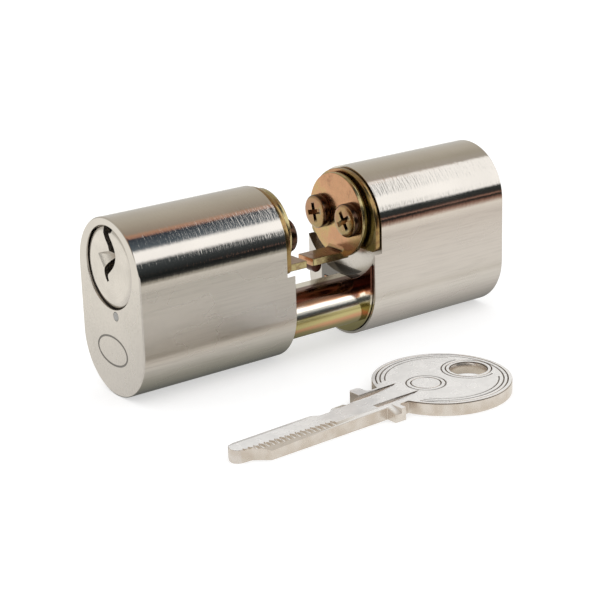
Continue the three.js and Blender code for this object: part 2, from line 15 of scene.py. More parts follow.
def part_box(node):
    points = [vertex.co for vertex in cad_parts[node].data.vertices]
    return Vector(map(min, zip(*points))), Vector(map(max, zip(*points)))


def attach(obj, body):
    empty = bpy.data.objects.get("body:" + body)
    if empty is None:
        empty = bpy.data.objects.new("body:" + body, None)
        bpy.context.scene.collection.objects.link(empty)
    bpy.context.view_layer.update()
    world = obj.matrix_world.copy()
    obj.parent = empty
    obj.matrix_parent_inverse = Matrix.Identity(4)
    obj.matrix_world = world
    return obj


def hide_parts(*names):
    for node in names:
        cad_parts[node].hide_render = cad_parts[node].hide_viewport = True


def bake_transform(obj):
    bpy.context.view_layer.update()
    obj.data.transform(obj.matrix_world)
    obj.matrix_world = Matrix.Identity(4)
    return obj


bl_info = {
    "name": "Double lock cylinder",
    "version": (1, 0, 0),
    "blender": (4, 5, 0),
    "location": "View3D > Sidebar > Lock",
    "description": "Makes an oval double lock cylinder with its cams, bridge and loose key",
    "category": "Object",
}

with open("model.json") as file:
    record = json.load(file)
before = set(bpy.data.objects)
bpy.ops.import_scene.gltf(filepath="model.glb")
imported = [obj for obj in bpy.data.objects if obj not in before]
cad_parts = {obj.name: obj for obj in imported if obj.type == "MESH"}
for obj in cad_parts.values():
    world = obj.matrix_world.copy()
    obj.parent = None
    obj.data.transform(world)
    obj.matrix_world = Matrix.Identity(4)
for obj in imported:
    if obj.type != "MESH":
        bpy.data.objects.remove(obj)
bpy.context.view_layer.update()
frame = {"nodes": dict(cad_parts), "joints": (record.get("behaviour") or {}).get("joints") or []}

# The frame is in metres; the pieces are shaped in millimetres.
MILLIMETRE = 0.001

# Steps round a whole bore, round half an oval, and round a small hole.
BORE_STEPS = 128
ARC_STEPS = 64
SMALL_STEPS = 40
SHARP_ANGLE = math.radians(50)
# Height of an engraving tool above the face that it cuts.
GROOVE_LIFT = 0.3


def box_mm(node):
    """Low and high corners of a frame node, in millimetres."""
    low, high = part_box(node)
    return Vector(low) / MILLIMETRE, Vector(high) / MILLIMETRE


def plug_axis_z():
    """Height of the plugs' axis, in millimetres."""
    for joint in frame["joints"]:
        if joint["name"] == "front_plug_turn":
            return joint["pos_m"][2] / MILLIMETRE
    raise RuntimeError("the frame has no front_plug_turn joint")


# Places read from the frame. They are the front half's, whose outer face looks to -X.
HOUSING_LOW, HOUSING_HIGH = box_mm("front_body")
PLUG_LOW, PLUG_HIGH = box_mm("front_plug")
CAM_LOW, CAM_HIGH = box_mm("front_cam")
REAR_CAM_LOW = box_mm("rear_cam")[0]
PLATE_LOW, PLATE_HIGH = box_mm("front_end_plate")
BRIDGE_LOW, BRIDGE_HIGH = box_mm("bridge")
DRILL_PIN_LOW, DRILL_PIN_HIGH = box_mm("front_anti_drill_pin")
DOWEL_LOW, DOWEL_HIGH = box_mm("front_bridge_dowel")
DOWEL_X = (DOWEL_LOW.x + DOWEL_HIGH.x) / 2
KEY_LOW = box_mm("key")[0]
AXIS_Z = plug_axis_z()
FACE_X = HOUSING_LOW.x
LOWER_END_X = HOUSING_HIGH.x
OVAL_RADIUS = HOUSING_HIGH.y
LOW_CENTRE_Z = HOUSING_LOW.z + OVAL_RADIUS
HIGH_CENTRE_Z = HOUSING_HIGH.z - OVAL_RADIUS
PLUG_HEAD_RADIUS = PLUG_HIGH.y
FLOOR_Z = HOUSING_LOW.z
PIN_NUMBERS = range(1, 6)
PIN_XS = [sum(corner.x for corner in box_mm(f"front_key_pin_{number}")) / 2 for number in PIN_NUMBERS]

# Sizes inside the pieces that a box doesn't give, as in the frame's own solids.
UPPER_END_X = -10.4
SWEEP_RADIUS = 11.2
HEAD_BORE_RADIUS = 7.15
HEAD_BORE_DEPTH = 2.7
PLUG_BORE_RADIUS = 6.65
BARREL_RADIUS = 6.5
CHAMBER_RADIUS = 1.62
PIN_HOLE_TOP_Z = 17.7
SCREW_OFFSET_Y = 4.3
SCREW_HOLE_RADIUS = 1.52
FIT_GAP = 0.15
CLOSE_GAP = 0.06
OVERCUT = 1.0
# Half the size of a tool that has to pass everything else.
BEYOND = 20.0


# Settings that a user would change.


class LockFinishSettings(bpy.types.PropertyGroup):
    """Colours and surface marks of the lock's finishes."""

    nickel: bpy.props.FloatVectorProperty(
        name="Nickel", description="Satin nickel plate of the housings and plugs",
        subtype="COLOR", size=3, min=0, max=1, default=(0.61, 0.575, 0.53))
    chromate_pink: bpy.props.FloatVectorProperty(
        name="Chromate pink", description="Pink patches of the yellow chromate",
        subtype="COLOR", size=3, min=0, max=1, default=(0.56, 0.3, 0.165))
    chromate_gold: bpy.props.FloatVectorProperty(
        name="Chromate gold", description="Gold ground of the yellow chromate",
        subtype="COLOR", size=3, min=0, max=1, default=(0.52, 0.36, 0.16))
    chromate_olive: bpy.props.FloatVectorProperty(
        name="Chromate olive", description="Olive patches of the yellow chromate",
        subtype="COLOR", size=3, min=0, max=1, default=(0.33, 0.29, 0.13))
    chromate_brown: bpy.props.FloatVectorProperty(
        name="Chromate brown", description="Thick, red-brown places of the yellow chromate",
        subtype="COLOR", size=3, min=0, max=1, default=(0.17, 0.06, 0.035))
    key_silver: bpy.props.FloatVectorProperty(
        name="Key silver", description="Bright nickel silver of the key",
        subtype="COLOR", size=3, min=0, max=1, default=(0.95, 0.94, 0.925))
    brass: bpy.props.FloatVectorProperty(
        name="Brass", description="Plain brass of the pins and chamber plugs",
        subtype="COLOR", size=3, min=0, max=1, default=(0.72, 0.5, 0.2))
    steel: bpy.props.FloatVectorProperty(
        name="Steel", description="Ground steel of the springs, dowels and drill pins",
        subtype="COLOR", size=3, min=0, max=1, default=(0.42, 0.42, 0.42))
    brush_depth: bpy.props.FloatProperty(
        name="Brush depth", description="Strength of the brush marks on the nickel",
        min=0, max=1, default=0.12)


class LockShapeSettings(bpy.types.PropertyGroup):
    """Edges and engraved marks, in millimetres."""

    face_edge: bpy.props.FloatProperty(
        name="Face edge", description="Rounding of the housing's outer edge",
        min=0.05, max=1, default=0.28)
    plug_chamfer: bpy.props.FloatProperty(
        name="Plug chamfer", description="Width of the sloped rim of a plug's face",
        min=0.1, max=2, default=0.9)
    mark_depth: bpy.props.FloatProperty(
        name="Mark depth", description="Depth of engraved rings", min=0.02, max=0.4, default=0.14)
    mark_line: bpy.props.FloatProperty(
        name="Mark line", description="Width of engraved lines", min=0.05, max=0.6, default=0.4)


class LockStageSettings(bpy.types.PropertyGroup):
    """Camera and light of the stage."""

    lens: bpy.props.FloatProperty(
        name="Lens", description="Focal length of the camera", min=20, max=300, default=102.5)
    distance: bpy.props.FloatProperty(
        name="Distance", description="Camera to aim point", unit="LENGTH", min=0.1, max=2, default=0.3062)
    azimuth: bpy.props.FloatProperty(
        name="Azimuth", description="Turn of the camera about Z from looking along +Y",
        unit="ROTATION", default=math.radians(36.34))
    elevation: bpy.props.FloatProperty(
        name="Elevation", description="Height of the camera above the horizon",
        unit="ROTATION", default=math.radians(18.37))
    roll: bpy.props.FloatProperty(
        name="Roll", description="Tilt of the camera about its own axis",
        unit="ROTATION", default=math.radians(-1.77))
    aim: bpy.props.FloatVectorProperty(
        name="Aim", description="Point that the camera looks at", subtype="TRANSLATION", size=3,
        default=(-0.00084, 0.0, 0.0))
    sky: bpy.props.FloatProperty(
        name="Sky", description="Brightness of the pale surroundings", min=0, max=5, default=1.0)


# Shaping in millimetres.


def object_from(name, vertices, faces):
    """A mesh object with its doubled points merged and its faces turned outwards."""
    mesh = bpy.data.meshes.new(name)
    mesh.from_pydata([tuple(point) for point in vertices], [], faces)
    work = bmesh.new()
    work.from_mesh(mesh)
    bmesh.ops.remove_doubles(work, verts=work.verts, dist=1e-5)
    bmesh.ops.recalc_face_normals(work, faces=work.faces)
    work.to_mesh(mesh)
    work.free()
    piece = bpy.data.objects.new(name, mesh)
    bpy.context.scene.collection.objects.link(piece)
    return piece


def discard(piece):
    """Removes an object and its mesh."""
    mesh = piece.data
    bpy.data.objects.remove(piece)
    bpy.data.meshes.remove(mesh)


def bake(piece):
    """Applies a piece's modifiers to its mesh."""
    rest = bpy.context.evaluated_depsgraph_get()
    done = bpy.data.meshes.new_from_object(piece.evaluated_get(rest))
    spare = piece.data
    piece.modifiers.clear()
    piece.data = done
    bpy.data.meshes.remove(spare)
    return piece


def combine(piece, tools, operation):
    """Cuts, joins or keeps common space with each tool in turn, and discards the tools."""
    for tool in tools:
        step = piece.modifiers.new(operation.lower(), "BOOLEAN")
        step.operation = operation
        step.solver = "EXACT"
        step.object = tool
    bake(piece)
    for tool in tools:
        discard(tool)
    return piece


def cut(piece, *tools):
    """Takes the tools' space away from a piece."""
    return combine(piece, tools, "DIFFERENCE")


def join(piece, *parts):
    """Adds solids to a piece."""
    return combine(piece, parts, "UNION")


def gather(name, parts):
    """One object that holds several separate solids."""
    vertices = []
    faces = []
    for part in parts:
        first = len(vertices)
        vertices += [vertex.co.copy() for vertex in part.data.vertices]
        faces += [tuple(first + index for index in face.vertices) for face in part.data.polygons]
        discard(part)
    return object_from(name, vertices, faces)


def loft(name, rings):
    """A closed solid through rings of points with one count, with flat ends."""
    count = len(rings[0])
    vertices = [point for ring in rings for point in ring]
    faces = [tuple(range(count)), tuple(range(len(vertices) - count, len(vertices)))]
    for level in range(len(rings) - 1):
        for index in range(count):
            a = level * count + index
            b = level * count + (index + 1) % count
            faces.append((a, b, b + count, a + count))
    return object_from(name, vertices, faces)


def turned(name, profile, centre, steps=SMALL_STEPS, axis="X"):
    """A turned solid. The profile lists (along, radius) from one end to the other.

    On axis X the centre is (y, z), and on axis Z it is (x, y).
    """
    rings = []
    for along, radius in profile:
        circle = ellipse(centre, radius, radius, steps)
        rings.append([(along, a, b) if axis == "X" else (a, b, along) for a, b in circle])
    return loft(name, rings)


def rod(name, radius, start, end, centre, steps=SMALL_STEPS, axis="X"):
    """A plain round rod."""
    return turned(name, [(start, radius), (end, radius)], centre, steps, axis)


def prism_x(name, section, start, end):
    """A section of (y, z) points drawn along X."""
    return loft(name, [[(x, y, z) for y, z in section] for x in (start, end)])


def prism_y(name, side, start, end):
    """A side outline of (x, z) points drawn along Y."""
    return loft(name, [[(x, y, z) for x, z in side] for y in (start, end)])


def prism_z(name, section, start, end):
    """A plan of (x, y) points raised along Z."""
    return loft(name, [[(x, y, z) for x, y in section] for z in (start, end)])


def block(name, low, high):
    """A box between two corners."""
    section = [(low[1], low[2]), (high[1], low[2]), (high[1], high[2]), (low[1], high[2])]
    return prism_x(name, section, low[0], high[0])


def arc(centre, radius, start, end, steps):
    """Points of a circular arc, its ends included. Angles are in degrees."""
    points = []
    for step in range(steps + 1):
        angle = math.radians(start + (end - start) * step / steps)
        points.append((centre[0] + radius * math.cos(angle), centre[1] + radius * math.sin(angle)))
    return points


def ellipse(centre, half_width, half_height, steps):
    """Points of an ellipse."""
    turns = [2 * math.pi * step / steps for step in range(steps)]
    return [
        (centre[0] + half_width * math.cos(turn), centre[1] + half_height * math.sin(turn)) for turn in turns
    ]


def oval_section(inset):
    """The housing's outline in (y, z), drawn in by an inset."""
    radius = OVAL_RADIUS - inset
    upper = arc((0, HIGH_CENTRE_Z), radius, 0, 180, ARC_STEPS)
    lower = arc((0, LOW_CENTRE_Z), radius, 180, 360, ARC_STEPS)
    return upper + lower


def rounded_oval(name, start, end, start_edge, end_edge):
    """The oval drawn along X, with a rounded edge at each end."""
    steps = 4
    stations = []
    for step in range(steps + 1):
        angle = math.pi / 2 * step / steps
        stations.append((start + start_edge * (1 - math.cos(angle)), start_edge * (1 - math.sin(angle))))
    for step in range(steps + 1):
        angle = math.pi / 2 * (1 - step / steps)
        stations.append((end - end_edge * (1 - math.cos(angle)), end_edge * (1 - math.sin(angle))))
    return loft(name, [[(x, y, z) for y, z in oval_section(inset)] for x, inset in stations])


def soften(piece, width):
    """Bevels the sharp edges of a piece."""
    edge = piece.modifiers.new("edge", "BEVEL")
    edge.width = width
    edge.segments = 2
    edge.limit_method = "ANGLE"
    edge.angle_limit = SHARP_ANGLE
    edge.use_clamp_overlap = False
    return bake(piece)


def groove_tool(name, line, width, depth, place, closed=True):
    """A tool that engraves a line of (across, up) points. place() turns (across, up, depth) into a point."""
    lift = GROOVE_LIFT
    mouth = width / 2 * (1 + lift / depth)
    floor = width / 8
    count = len(line)
    vertices = []
    for index in range(count):
        if closed:
            ahead, behind = line[(index + 1) % count], line[index - 1]
        else:
            ahead, behind = line[min(index + 1, count - 1)], line[max(index - 1, 0)]
        run = Vector((ahead[0] - behind[0], ahead[1] - behind[1])).normalized()
        across, up = line[index]
        for offset, level in ((-mouth, -lift), (mouth, -lift), (floor, depth), (-floor, depth)):
            vertices.append(place(across - run.y * offset, up + run.x * offset, level))
    faces = []
    for index in range(count if closed else count - 1):
        first = index * 4
        second = (index + 1) % count * 4
        for corner in range(4):
            after = (corner + 1) % 4
            faces.append((first + corner, first + after, second + after, second + corner))
    if not closed:
        faces += [(0, 1, 2, 3), tuple(range(count * 4 - 4, count * 4))]
    return object_from(name, vertices, faces)


def half_turned_copy(piece, name):
    """A copy of a front piece, turned half round Z into the rear half."""
    copy = bpy.data.objects.new(name, piece.data.copy())
    bpy.context.scene.collection.objects.link(copy)
    copy.data.transform(Matrix.Rotation(math.pi, 4, "Z"))
    return copy


def smooth_piece(piece, finish):
    """Brings a shaped piece to metres, smooths it and gives it its finish."""
    piece.data.transform(Matrix.Scale(MILLIMETRE, 4))
    for face in piece.data.polygons:
        face.use_smooth = True
    piece.data.set_sharp_from_angle(angle=SHARP_ANGLE)
    normals = piece.modifiers.new("normals", "WEIGHTED_NORMAL")
    normals.keep_sharp = True
    bake(piece)
    piece.data.materials.clear()
    piece.data.materials.append(finish)
    return piece


def finish_piece(piece, node, body, finish):
    """Smooths a shaped piece, and hands it to the frame in place of a node."""
    smooth_piece(piece, finish)
    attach(piece, body)
    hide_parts(node)


# Finishes.


class NodeBench:
    """Adds and links the nodes of one tree."""

    def __init__(self, tree):
        self.tree = tree

    def add(self, kind, **inputs):
        """A node whose named inputs are set to values or linked from sockets."""
        node = self.tree.nodes.new(kind)
        for name, value in inputs.items():
            self.feed(node.inputs[name.replace("_", " ")], value)
        return node

    def feed(self, socket, value):
        """Links a socket, or sets a plain value."""
        if isinstance(value, bpy.types.NodeSocket):
            self.tree.links.new(value, socket)
        else:
            socket.default_value = value

    def split(self, vector):
        """The X, Y and Z of a vector."""
        return self.add("ShaderNodeSeparateXYZ", Vector=vector).outputs

    def span(self, value, low_in, high_in, low_out, high_out):
        """Maps a value from one span to another, held at its ends."""
        limits = {"From_Min": low_in, "From_Max": high_in, "To_Min": low_out, "To_Max": high_out}
        return self.add("ShaderNodeMapRange", Value=value, **limits).outputs["Result"]

    def mix(self, factor, first, second):
        """Mixes two colours."""
        node = self.tree.nodes.new("ShaderNodeMix")
        node.data_type = "RGBA"
        for index, value in ((0, factor), (6, first), (7, second)):
            self.feed(node.inputs[index], value)
        return node.outputs[2]

    def patch(self, tone, other, value, low, high, most=1.0):
        """Mixes another colour into a tone, up to a share, as a value runs from low to high."""
        return self.mix(self.span(value, low, high, 0.0, most), tone, other)

    def maths(self, operation, first, second=0.0):
        """Arithmetic on one or two values."""
        node = self.tree.nodes.new("ShaderNodeMath")
        node.operation = operation
        self.feed(node.inputs[0], first)
        self.feed(node.inputs[1], second)
        return node.outputs["Value"]

    def both(self, *values):
        """The product of several values."""
        product = values[0]
        for value in values[1:]:
            product = self.maths("MULTIPLY", product, value)
        return product

    def above(self, value, low, high):
        """0 where a place in metres is below low, and 1 above high, which are in millimetres."""
        return self.span(value, low * MILLIMETRE, high * MILLIMETRE, 0.0, 1.0)

    def below(self, value, low, high):
        """1 where a place in metres is below low, and 0 above high, which are in millimetres."""
        return self.span(value, low * MILLIMETRE, high * MILLIMETRE, 1.0, 0.0)

    def near_zero(self, value, reach):
        """1 where a place lies within a reach of zero, in millimetres, and 0 beyond it."""
        return self.below(self.maths("ABSOLUTE", value), reach - 0.2, reach)

    def ramp(self, value, stops):
        """A colour ramp with (place, colour) stops."""
        node = self.add("ShaderNodeValToRGB", Fac=value)
        ramp = node.color_ramp
        ramp.elements[0].position, ramp.elements[0].color = stops[0]
        ramp.elements[1].position, ramp.elements[1].color = stops[-1]
        for position, colour in stops[1:-1]:
            ramp.elements.new(position).color = colour
        return node.outputs["Color"]

    def strips(self, value, strips):
        """A colour ramp through strips of (place, colour), spread over the whole of its value."""
        first, last = strips[0][0], strips[-1][0]
        return self.ramp(value, [
            ((place - first) / (last - first), rgba(colour)) for place, colour in strips
        ])

    def show(self, output, plain, reflected):
        """Sends one shader to an output node, and another in its place to reflections."""
        choice = self.tree.nodes.new("ShaderNodeMixShader")
        glossy = self.add("ShaderNodeLightPath").outputs["Is Glossy Ray"]
        for index, value in enumerate((glossy, plain.outputs[0], reflected.outputs[0])):
            self.feed(choice.inputs[index], value)
        self.feed(self.tree.nodes[output].inputs["Surface"], choice.outputs[0])


class MaterialBench(NodeBench):
    """The nodes of one material, with the surface's places and directions."""

    def __init__(self, name):
        self.material = bpy.data.materials.new(name)
        self.material.use_nodes = True
        super().__init__(self.material.node_tree)
        self.shader = self.tree.nodes["Principled BSDF"]
        coordinates = self.add("ShaderNodeTexCoord").outputs
        self.place = coordinates["Object"]
        self.along, self.across, self.height = self.split(self.place)
        self.facing = self.split(coordinates["Normal"])

    def noise(self, stretch, detail=4.0, roughness=0.5):
        """Noise in the row's own space, stretched along its axes."""
        mapping = self.add("ShaderNodeMapping", Vector=self.place, Scale=stretch)
        node = self.add("ShaderNodeTexNoise", Vector=mapping.outputs["Vector"], Scale=1.0,
                        Detail=detail, Roughness=roughness)
        return node.outputs["Fac"]

    def bump(self, height, strength, distance, below=None):
        """A bump from a height, laid over another if one is given."""
        node = self.add("ShaderNodeBump", Height=height, Strength=strength, Distance=distance)
        if below is not None:
            self.feed(node.inputs["Normal"], below)
        return node.outputs["Normal"]

    def metal(self, tone, roughness, normal, metallic=1.0, coat=(0.0, 0.03)):
        """Feeds the shader and gives the finished material. The coat is its weight and roughness."""
        inputs = self.shader.inputs
        self.feed(inputs["Base Color"], tone)
        self.feed(inputs["Roughness"], roughness)
        self.feed(inputs["Metallic"], metallic)
        self.feed(inputs["Normal"], normal)
        inputs["Coat Weight"].default_value, inputs["Coat Roughness"].default_value = coat
        return self.material


def rgba(colour, factor=1.0):
    """A colour with its alpha, lightened or darkened by a factor."""
    return tuple(min(1.0, part * factor) for part in colour) + (1.0,)


def finishes():
    """The scene's finish settings."""
    return bpy.context.scene.lock_finish


def shapes():
    """The scene's shape settings."""
    return bpy.context.scene.lock_shape


def kept_material(name, maker):
    """A material made once and shared by later pieces."""
    return bpy.data.materials.get(name) or maker(name)


def make_housing_nickel(name):
    """Nickel plate: a polished crown, satin flanks, brush marks round the oval and painted shade in the
    engraved line.
    """
    bench = MaterialBench(name)
    base = finishes().nickel
    depth = finishes().brush_depth
    satin = bench.below(bench.height, HIGH_CENTRE_Z - 1.2, HIGH_CENTRE_Z + 0.2)
    marks = bench.noise((2400, 420, 420), 3.0, 0.6)
    hair = bench.noise((110, 2600, 2600), 3.0, 0.6)
    cloud = bench.noise((70, 110, 110), 3.0)
    specks = bench.noise((1500, 1500, 1500), 2.0, 0.7)
    tone = bench.patch(rgba(base, 0.95), rgba(base, 1.05), cloud, 0.3, 0.7)
    worn = bench.both(bench.span(hair, 0.45, 0.75, 0.0, 0.35), satin)
    tone = bench.mix(worn, tone, rgba(base, 0.7))
    tone = bench.patch(tone, rgba(base, 0.55), specks, 0.68, 0.78, 0.25)
    # Painted shade: the engraved oval's groove is darkened.
    engraved = bench.both(
        bench.near_zero(bench.across, MARK_REACH_Y),
        bench.near_zero(bench.height, MARK_REACH_Z),
        bench.below(bench.maths("ABSOLUTE", bench.along), -FACE_X - 0.06, -FACE_X - 0.02),
    )
    tone = bench.mix(engraved, tone, rgba(base, 0.3))
    clouding = bench.span(cloud, 0.3, 0.7, -0.02, 0.03)
    rough = bench.maths("ADD", bench.span(satin, 0.0, 1.0, 0.09, 0.27), clouding)
    ribs = bench.both(marks, bench.span(satin, 0.0, 1.0, 1.0, 0.1))
    normal = bench.bump(ribs, 2 * depth, 0.0001)
    return bench.metal(tone, rough, bench.bump(hair, depth, 0.00001, normal))


def make_plug_nickel(name):
    """Turned nickel: rings round the plug's axis, with light spots of wear."""
    bench = MaterialBench(name)
    base = finishes().nickel
    above_axis = bench.maths("SUBTRACT", bench.height, AXIS_Z * MILLIMETRE)
    squares = [bench.both(side, side) for side in (bench.across, above_axis)]
    radius = bench.maths("SQRT", bench.maths("ADD", *squares))
    turning = bench.add("ShaderNodeCombineXYZ", X=radius, Y=bench.along).outputs["Vector"]
    rings = bench.add("ShaderNodeTexNoise", Vector=turning, Scale=9000.0, Detail=2.0).outputs["Fac"]
    cloud = bench.noise((300, 300, 300))
    tone = bench.patch(rgba(base, 0.96), rgba(base, 1.12), cloud, 0.3, 0.7)
    rough = bench.span(rings, 0.3, 0.7, 0.2, 0.32)
    return bench.metal(tone, rough, bench.bump(rings, 0.15, 0.00001))


def make_chromate(name, shift, depth, side_tone, top_tone):
    """Yellow chromate on zinc, with fine pitting.

    Faces across the row drift between pink, gold, olive and brown. Sides take the side tone, and sides that
    look up, below the plugs' axis, take the top tone. On the cams the side tone is partly a painted highlight
    and the top tone is a painted shade, and on the screws both are painted shade. The lug, below the tongue,
    is painted dark as shade.
    """
    bench = MaterialBench(name)
    colours = finishes()
    drift = bench.noise((120, 120, 120), 2.0, 0.45)
    fine = bench.noise((1100, 1100, 1100), 4.0, 0.6)
    grain = bench.noise((4200, 4200, 4200), 3.0, 0.6)
    place = bench.maths("ADD", bench.both(fine, 0.25), bench.both(drift, 0.75))
    place = bench.maths("ADD", place, shift)
    tone = bench.ramp(place, [
        (0.26, rgba(colours.chromate_olive, depth)),
        (0.40, rgba(colours.chromate_gold, depth)),
        (0.48, rgba(colours.chromate_pink, depth)),
        (0.60, rgba(colours.chromate_pink, 0.9 * depth)),
        (0.74, rgba(colours.chromate_brown, depth)),
    ])
    tone = bench.patch(tone, rgba(colours.chromate_olive, depth), grain, 0.5, 0.75, 0.35)
    # Painted light: sides take the side tone, and the tongue's up-facing top takes the darker top tone as
    # shade.
    low = bench.below(bench.height, *TONGUE_TOP_SHADE_Z)
    shaded_top = bench.both(bench.span(bench.facing["Z"], 0.6, 0.9, 0.0, 1.0), low)
    side = bench.mix(shaded_top, rgba(side_tone), rgba(top_tone))
    side = bench.patch(side, rgba(colours.chromate_brown), fine, 0.45, 0.7, 0.5)
    tone = bench.patch(side, tone, bench.maths("ABSOLUTE", bench.facing["X"]), 0.6, 0.9)
    # Painted shade under the tongue: the lug below it is darkened.
    tone = bench.mix(bench.below(bench.height, *LUG_SHADE_Z), tone, rgba(colours.chromate_brown, 0.4))
    rough = bench.span(fine, 0.3, 0.7, 0.16, 0.28)
    normal = bench.bump(fine, 0.1, 0.00003, bench.bump(grain, 0.12, 0.00001))
    return bench.metal(tone, rough, normal, coat=(0.2, 0.1))


def make_cam_chromate(name):
    """Chromate that runs mostly pink and gold, olive on the cut edges that is partly a painted highlight, and
    a painted shade of brown on top of the tongue.
    """
    return make_chromate(name, -0.01, 1.0, (0.45, 0.38, 0.19), (0.27, 0.16, 0.09))


def make_screw_chromate(name):
    """A darker chromate, with painted shade nearly black round the heads."""
    return make_chromate(name, -0.04, 0.72, (0.05, 0.028, 0.015), (0.05, 0.028, 0.015))


def make_plate_chromate(name):
    """Chromate that runs mostly olive, with browner edges."""
    return make_chromate(name, -0.17, 0.8, (0.34, 0.23, 0.09), (0.34, 0.23, 0.09))


def make_bridge_chromate_and_reflections(name):
    """Chromate on the bridge in bands of painted reflection by height: brown above, a painted cream highlight
    round the middle, olive at its foot.
    """
    bench = MaterialBench(name)
    colours = finishes()
    drift = bench.noise((60, 160, 160), 3.0, 0.5)
    streak = bench.noise((90, 1500, 1500), 3.0, 0.5)
    grain = bench.noise((4200, 4200, 4200), 3.0, 0.6)
    # Painted reflections: the ramp by height copies the studio's bands on the round bar.
    top = BAR_CENTRE_Z + BAR_RADIUS
    level = bench.above(bench.height, BAR_BOTTOM_Z, top)
    for run in (drift, streak):
        level = bench.maths("ADD", level, bench.span(run, 0.3, 0.7, -0.03, 0.03))
    tone = bench.ramp(level, [
        (0.10, rgba(colours.chromate_olive)),
        (0.22, rgba(colours.chromate_pink, 1.1)),
        (0.30, rgba(colours.chromate_olive, 1.5)),
        (0.45, rgba(colours.chromate_olive, 1.2)),
        (0.54, rgba((0.86, 0.82, 0.72))),
        (0.72, rgba((0.9, 0.85, 0.76))),
        (0.77, rgba(colours.chromate_pink)),
        (0.85, rgba(colours.chromate_brown, 1.2)),
        (0.97, rgba(colours.chromate_brown, 0.8)),
    ])
    # Painted highlight: a pale strip along the bar's flat top.
    top_highlight = bench.both(
        bench.above(bench.across, *TOP_HIGHLIGHT_Y),
        bench.above(bench.height, top - 0.3, top - 0.1),
    )
    tone = bench.mix(top_highlight, tone, rgba((0.8, 0.77, 0.68)))
    rough = bench.span(streak, 0.3, 0.7, 0.1, 0.2)
    normal = bench.bump(streak, 0.12, 0.00003, bench.bump(grain, 0.1, 0.00001))
    return bench.metal(tone, rough, normal, coat=(0.3, 0.06))


def make_key_silver(name):
    """Bright nickel silver: plated faces, duller cut slopes and sides whose grey is partly painted shade, and
    painted shade in the engraved lines.
    """
    bench = MaterialBench(name)
    base = finishes().key_silver
    ripple = bench.noise((420, 420, 420), 3.0)
    hair = bench.noise((700, 2600, 2600), 3.0)
    tone = bench.patch(rgba(base, 0.95), rgba(base, 1.05), ripple, 0.3, 0.7)
    tone = bench.patch(tone, rgba(base, 0.75), hair, 0.55, 0.8, 0.2)
    # Flat faces keep the bright plate; slopes and sides take a grey and brown tone, the brown for the cut
    # metal and the grey partly painted shade.
    flat = bench.span(bench.facing["Z"], 0.93, 0.985, 0.0, 1.0)
    slope_metal_and_shade = bench.patch(rgba((0.76, 0.71, 0.66)), rgba((0.62, 0.54, 0.46)), ripple, 0.3, 0.75)
    tone = bench.mix(flat, slope_metal_and_shade, tone)
    bow_start = KEY_LOW.x + LUG_END + 1.0
    top = FLOOR_Z + KEY_THICKNESS
    # Painted shade: the engraved lines on the bow are darkened.
    engraved = bench.both(
        bench.below(bench.height, top - 0.08, top - 0.03),
        bench.above(bench.height, top - 0.22, top - 0.17),
        bench.above(bench.along, bow_start, bow_start + 0.5),
    )
    tone = bench.mix(engraved, tone, rgba((0.13, 0.1, 0.08)))
    rough = bench.span(ripple, 0.3, 0.7, 0.22, 0.3)
    normal = bench.bump(hair, 0.08, 0.00001, bench.bump(ripple, 0.25, 0.00008))
    return bench.metal(tone, rough, normal, bench.span(flat, 0.0, 1.0, 0.9, 0.25))


def make_turned_metal(name, base, low, high):
    """A small turned part: rings along its length and slight tarnish."""
    bench = MaterialBench(name)
    rings = bench.noise((900, 900, 14000), 2.0)
    tarnish = bench.noise((700, 700, 700))
    tone = bench.patch(rgba(base), rgba(base, 0.72), tarnish, 0.35, 0.7)
    rough = bench.span(rings, 0.3, 0.7, low, high)
    return bench.metal(tone, rough, bench.bump(rings, 0.2, 0.00002))


def make_pin_brass(name):
    """Plain turned brass."""
    return make_turned_metal(name, finishes().brass, 0.2, 0.34)


def make_ground_steel(name):
    """Ground steel of springs, dowels and drill pins."""
    return make_turned_metal(name, finishes().steel, 0.25, 0.4)


# Housings.

MARK_CENTRE = (0.4, -0.4)
MARK_HALF_WIDTH = 4.6
MARK_HALF_HEIGHT = 2.5
# The engraved line takes painted shade within these places.
MARK_REACH_Y = 6.0
MARK_REACH_Z = 4.0
INNER_EDGE = 0.12
BORE_MOUTH = 0.08
PEG_Y = 7.95
PEG_Z = 11.5
PEG_RADIUS = 0.7
FLANGE_INSET = 0.6
FLANGE_FAR_Y = 1.5
FLANGE_FAR_Z = -1.5
FLANGE_END_X = 10.5
TENON_HALF_WIDTH = 5.0
TENON_LOW_Z = -2.5
DOWEL_HOLE_TOP_Z = -2.6
TENON_HIGH_Z = 1.5


def on_face(across, up, depth):
    """A point below the housing's outer face."""
    return (FACE_X + depth, across, up)


def flange_solid(name, start, end, inset, away_side):
    """The oval's foot, drawn in from its edge, clear of the cams' sweep and low on one side.

    away_side is 1 where that side, the one away from the bar, is +Y.
    """
    low, high = start - OVERCUT, end + OVERCUT
    flange = prism_x(name, oval_section(inset), start, end)
    sweep = rod("sweep", SWEEP_RADIUS + inset, low, high, (0, AXIS_Z), BORE_STEPS)
    above = block("above", (low, -BEYOND, AXIS_Z), (high, BEYOND, HOUSING_HIGH.z + OVERCUT))
    play = FLANGE_INSET - inset
    near, far = sorted((away_side * (FLANGE_FAR_Y + play), away_side * BEYOND))
    away = block("away", (low, near, FLANGE_FAR_Z + play), (high, far, HOUSING_HIGH.z))
    return cut(flange, sweep, above, away)


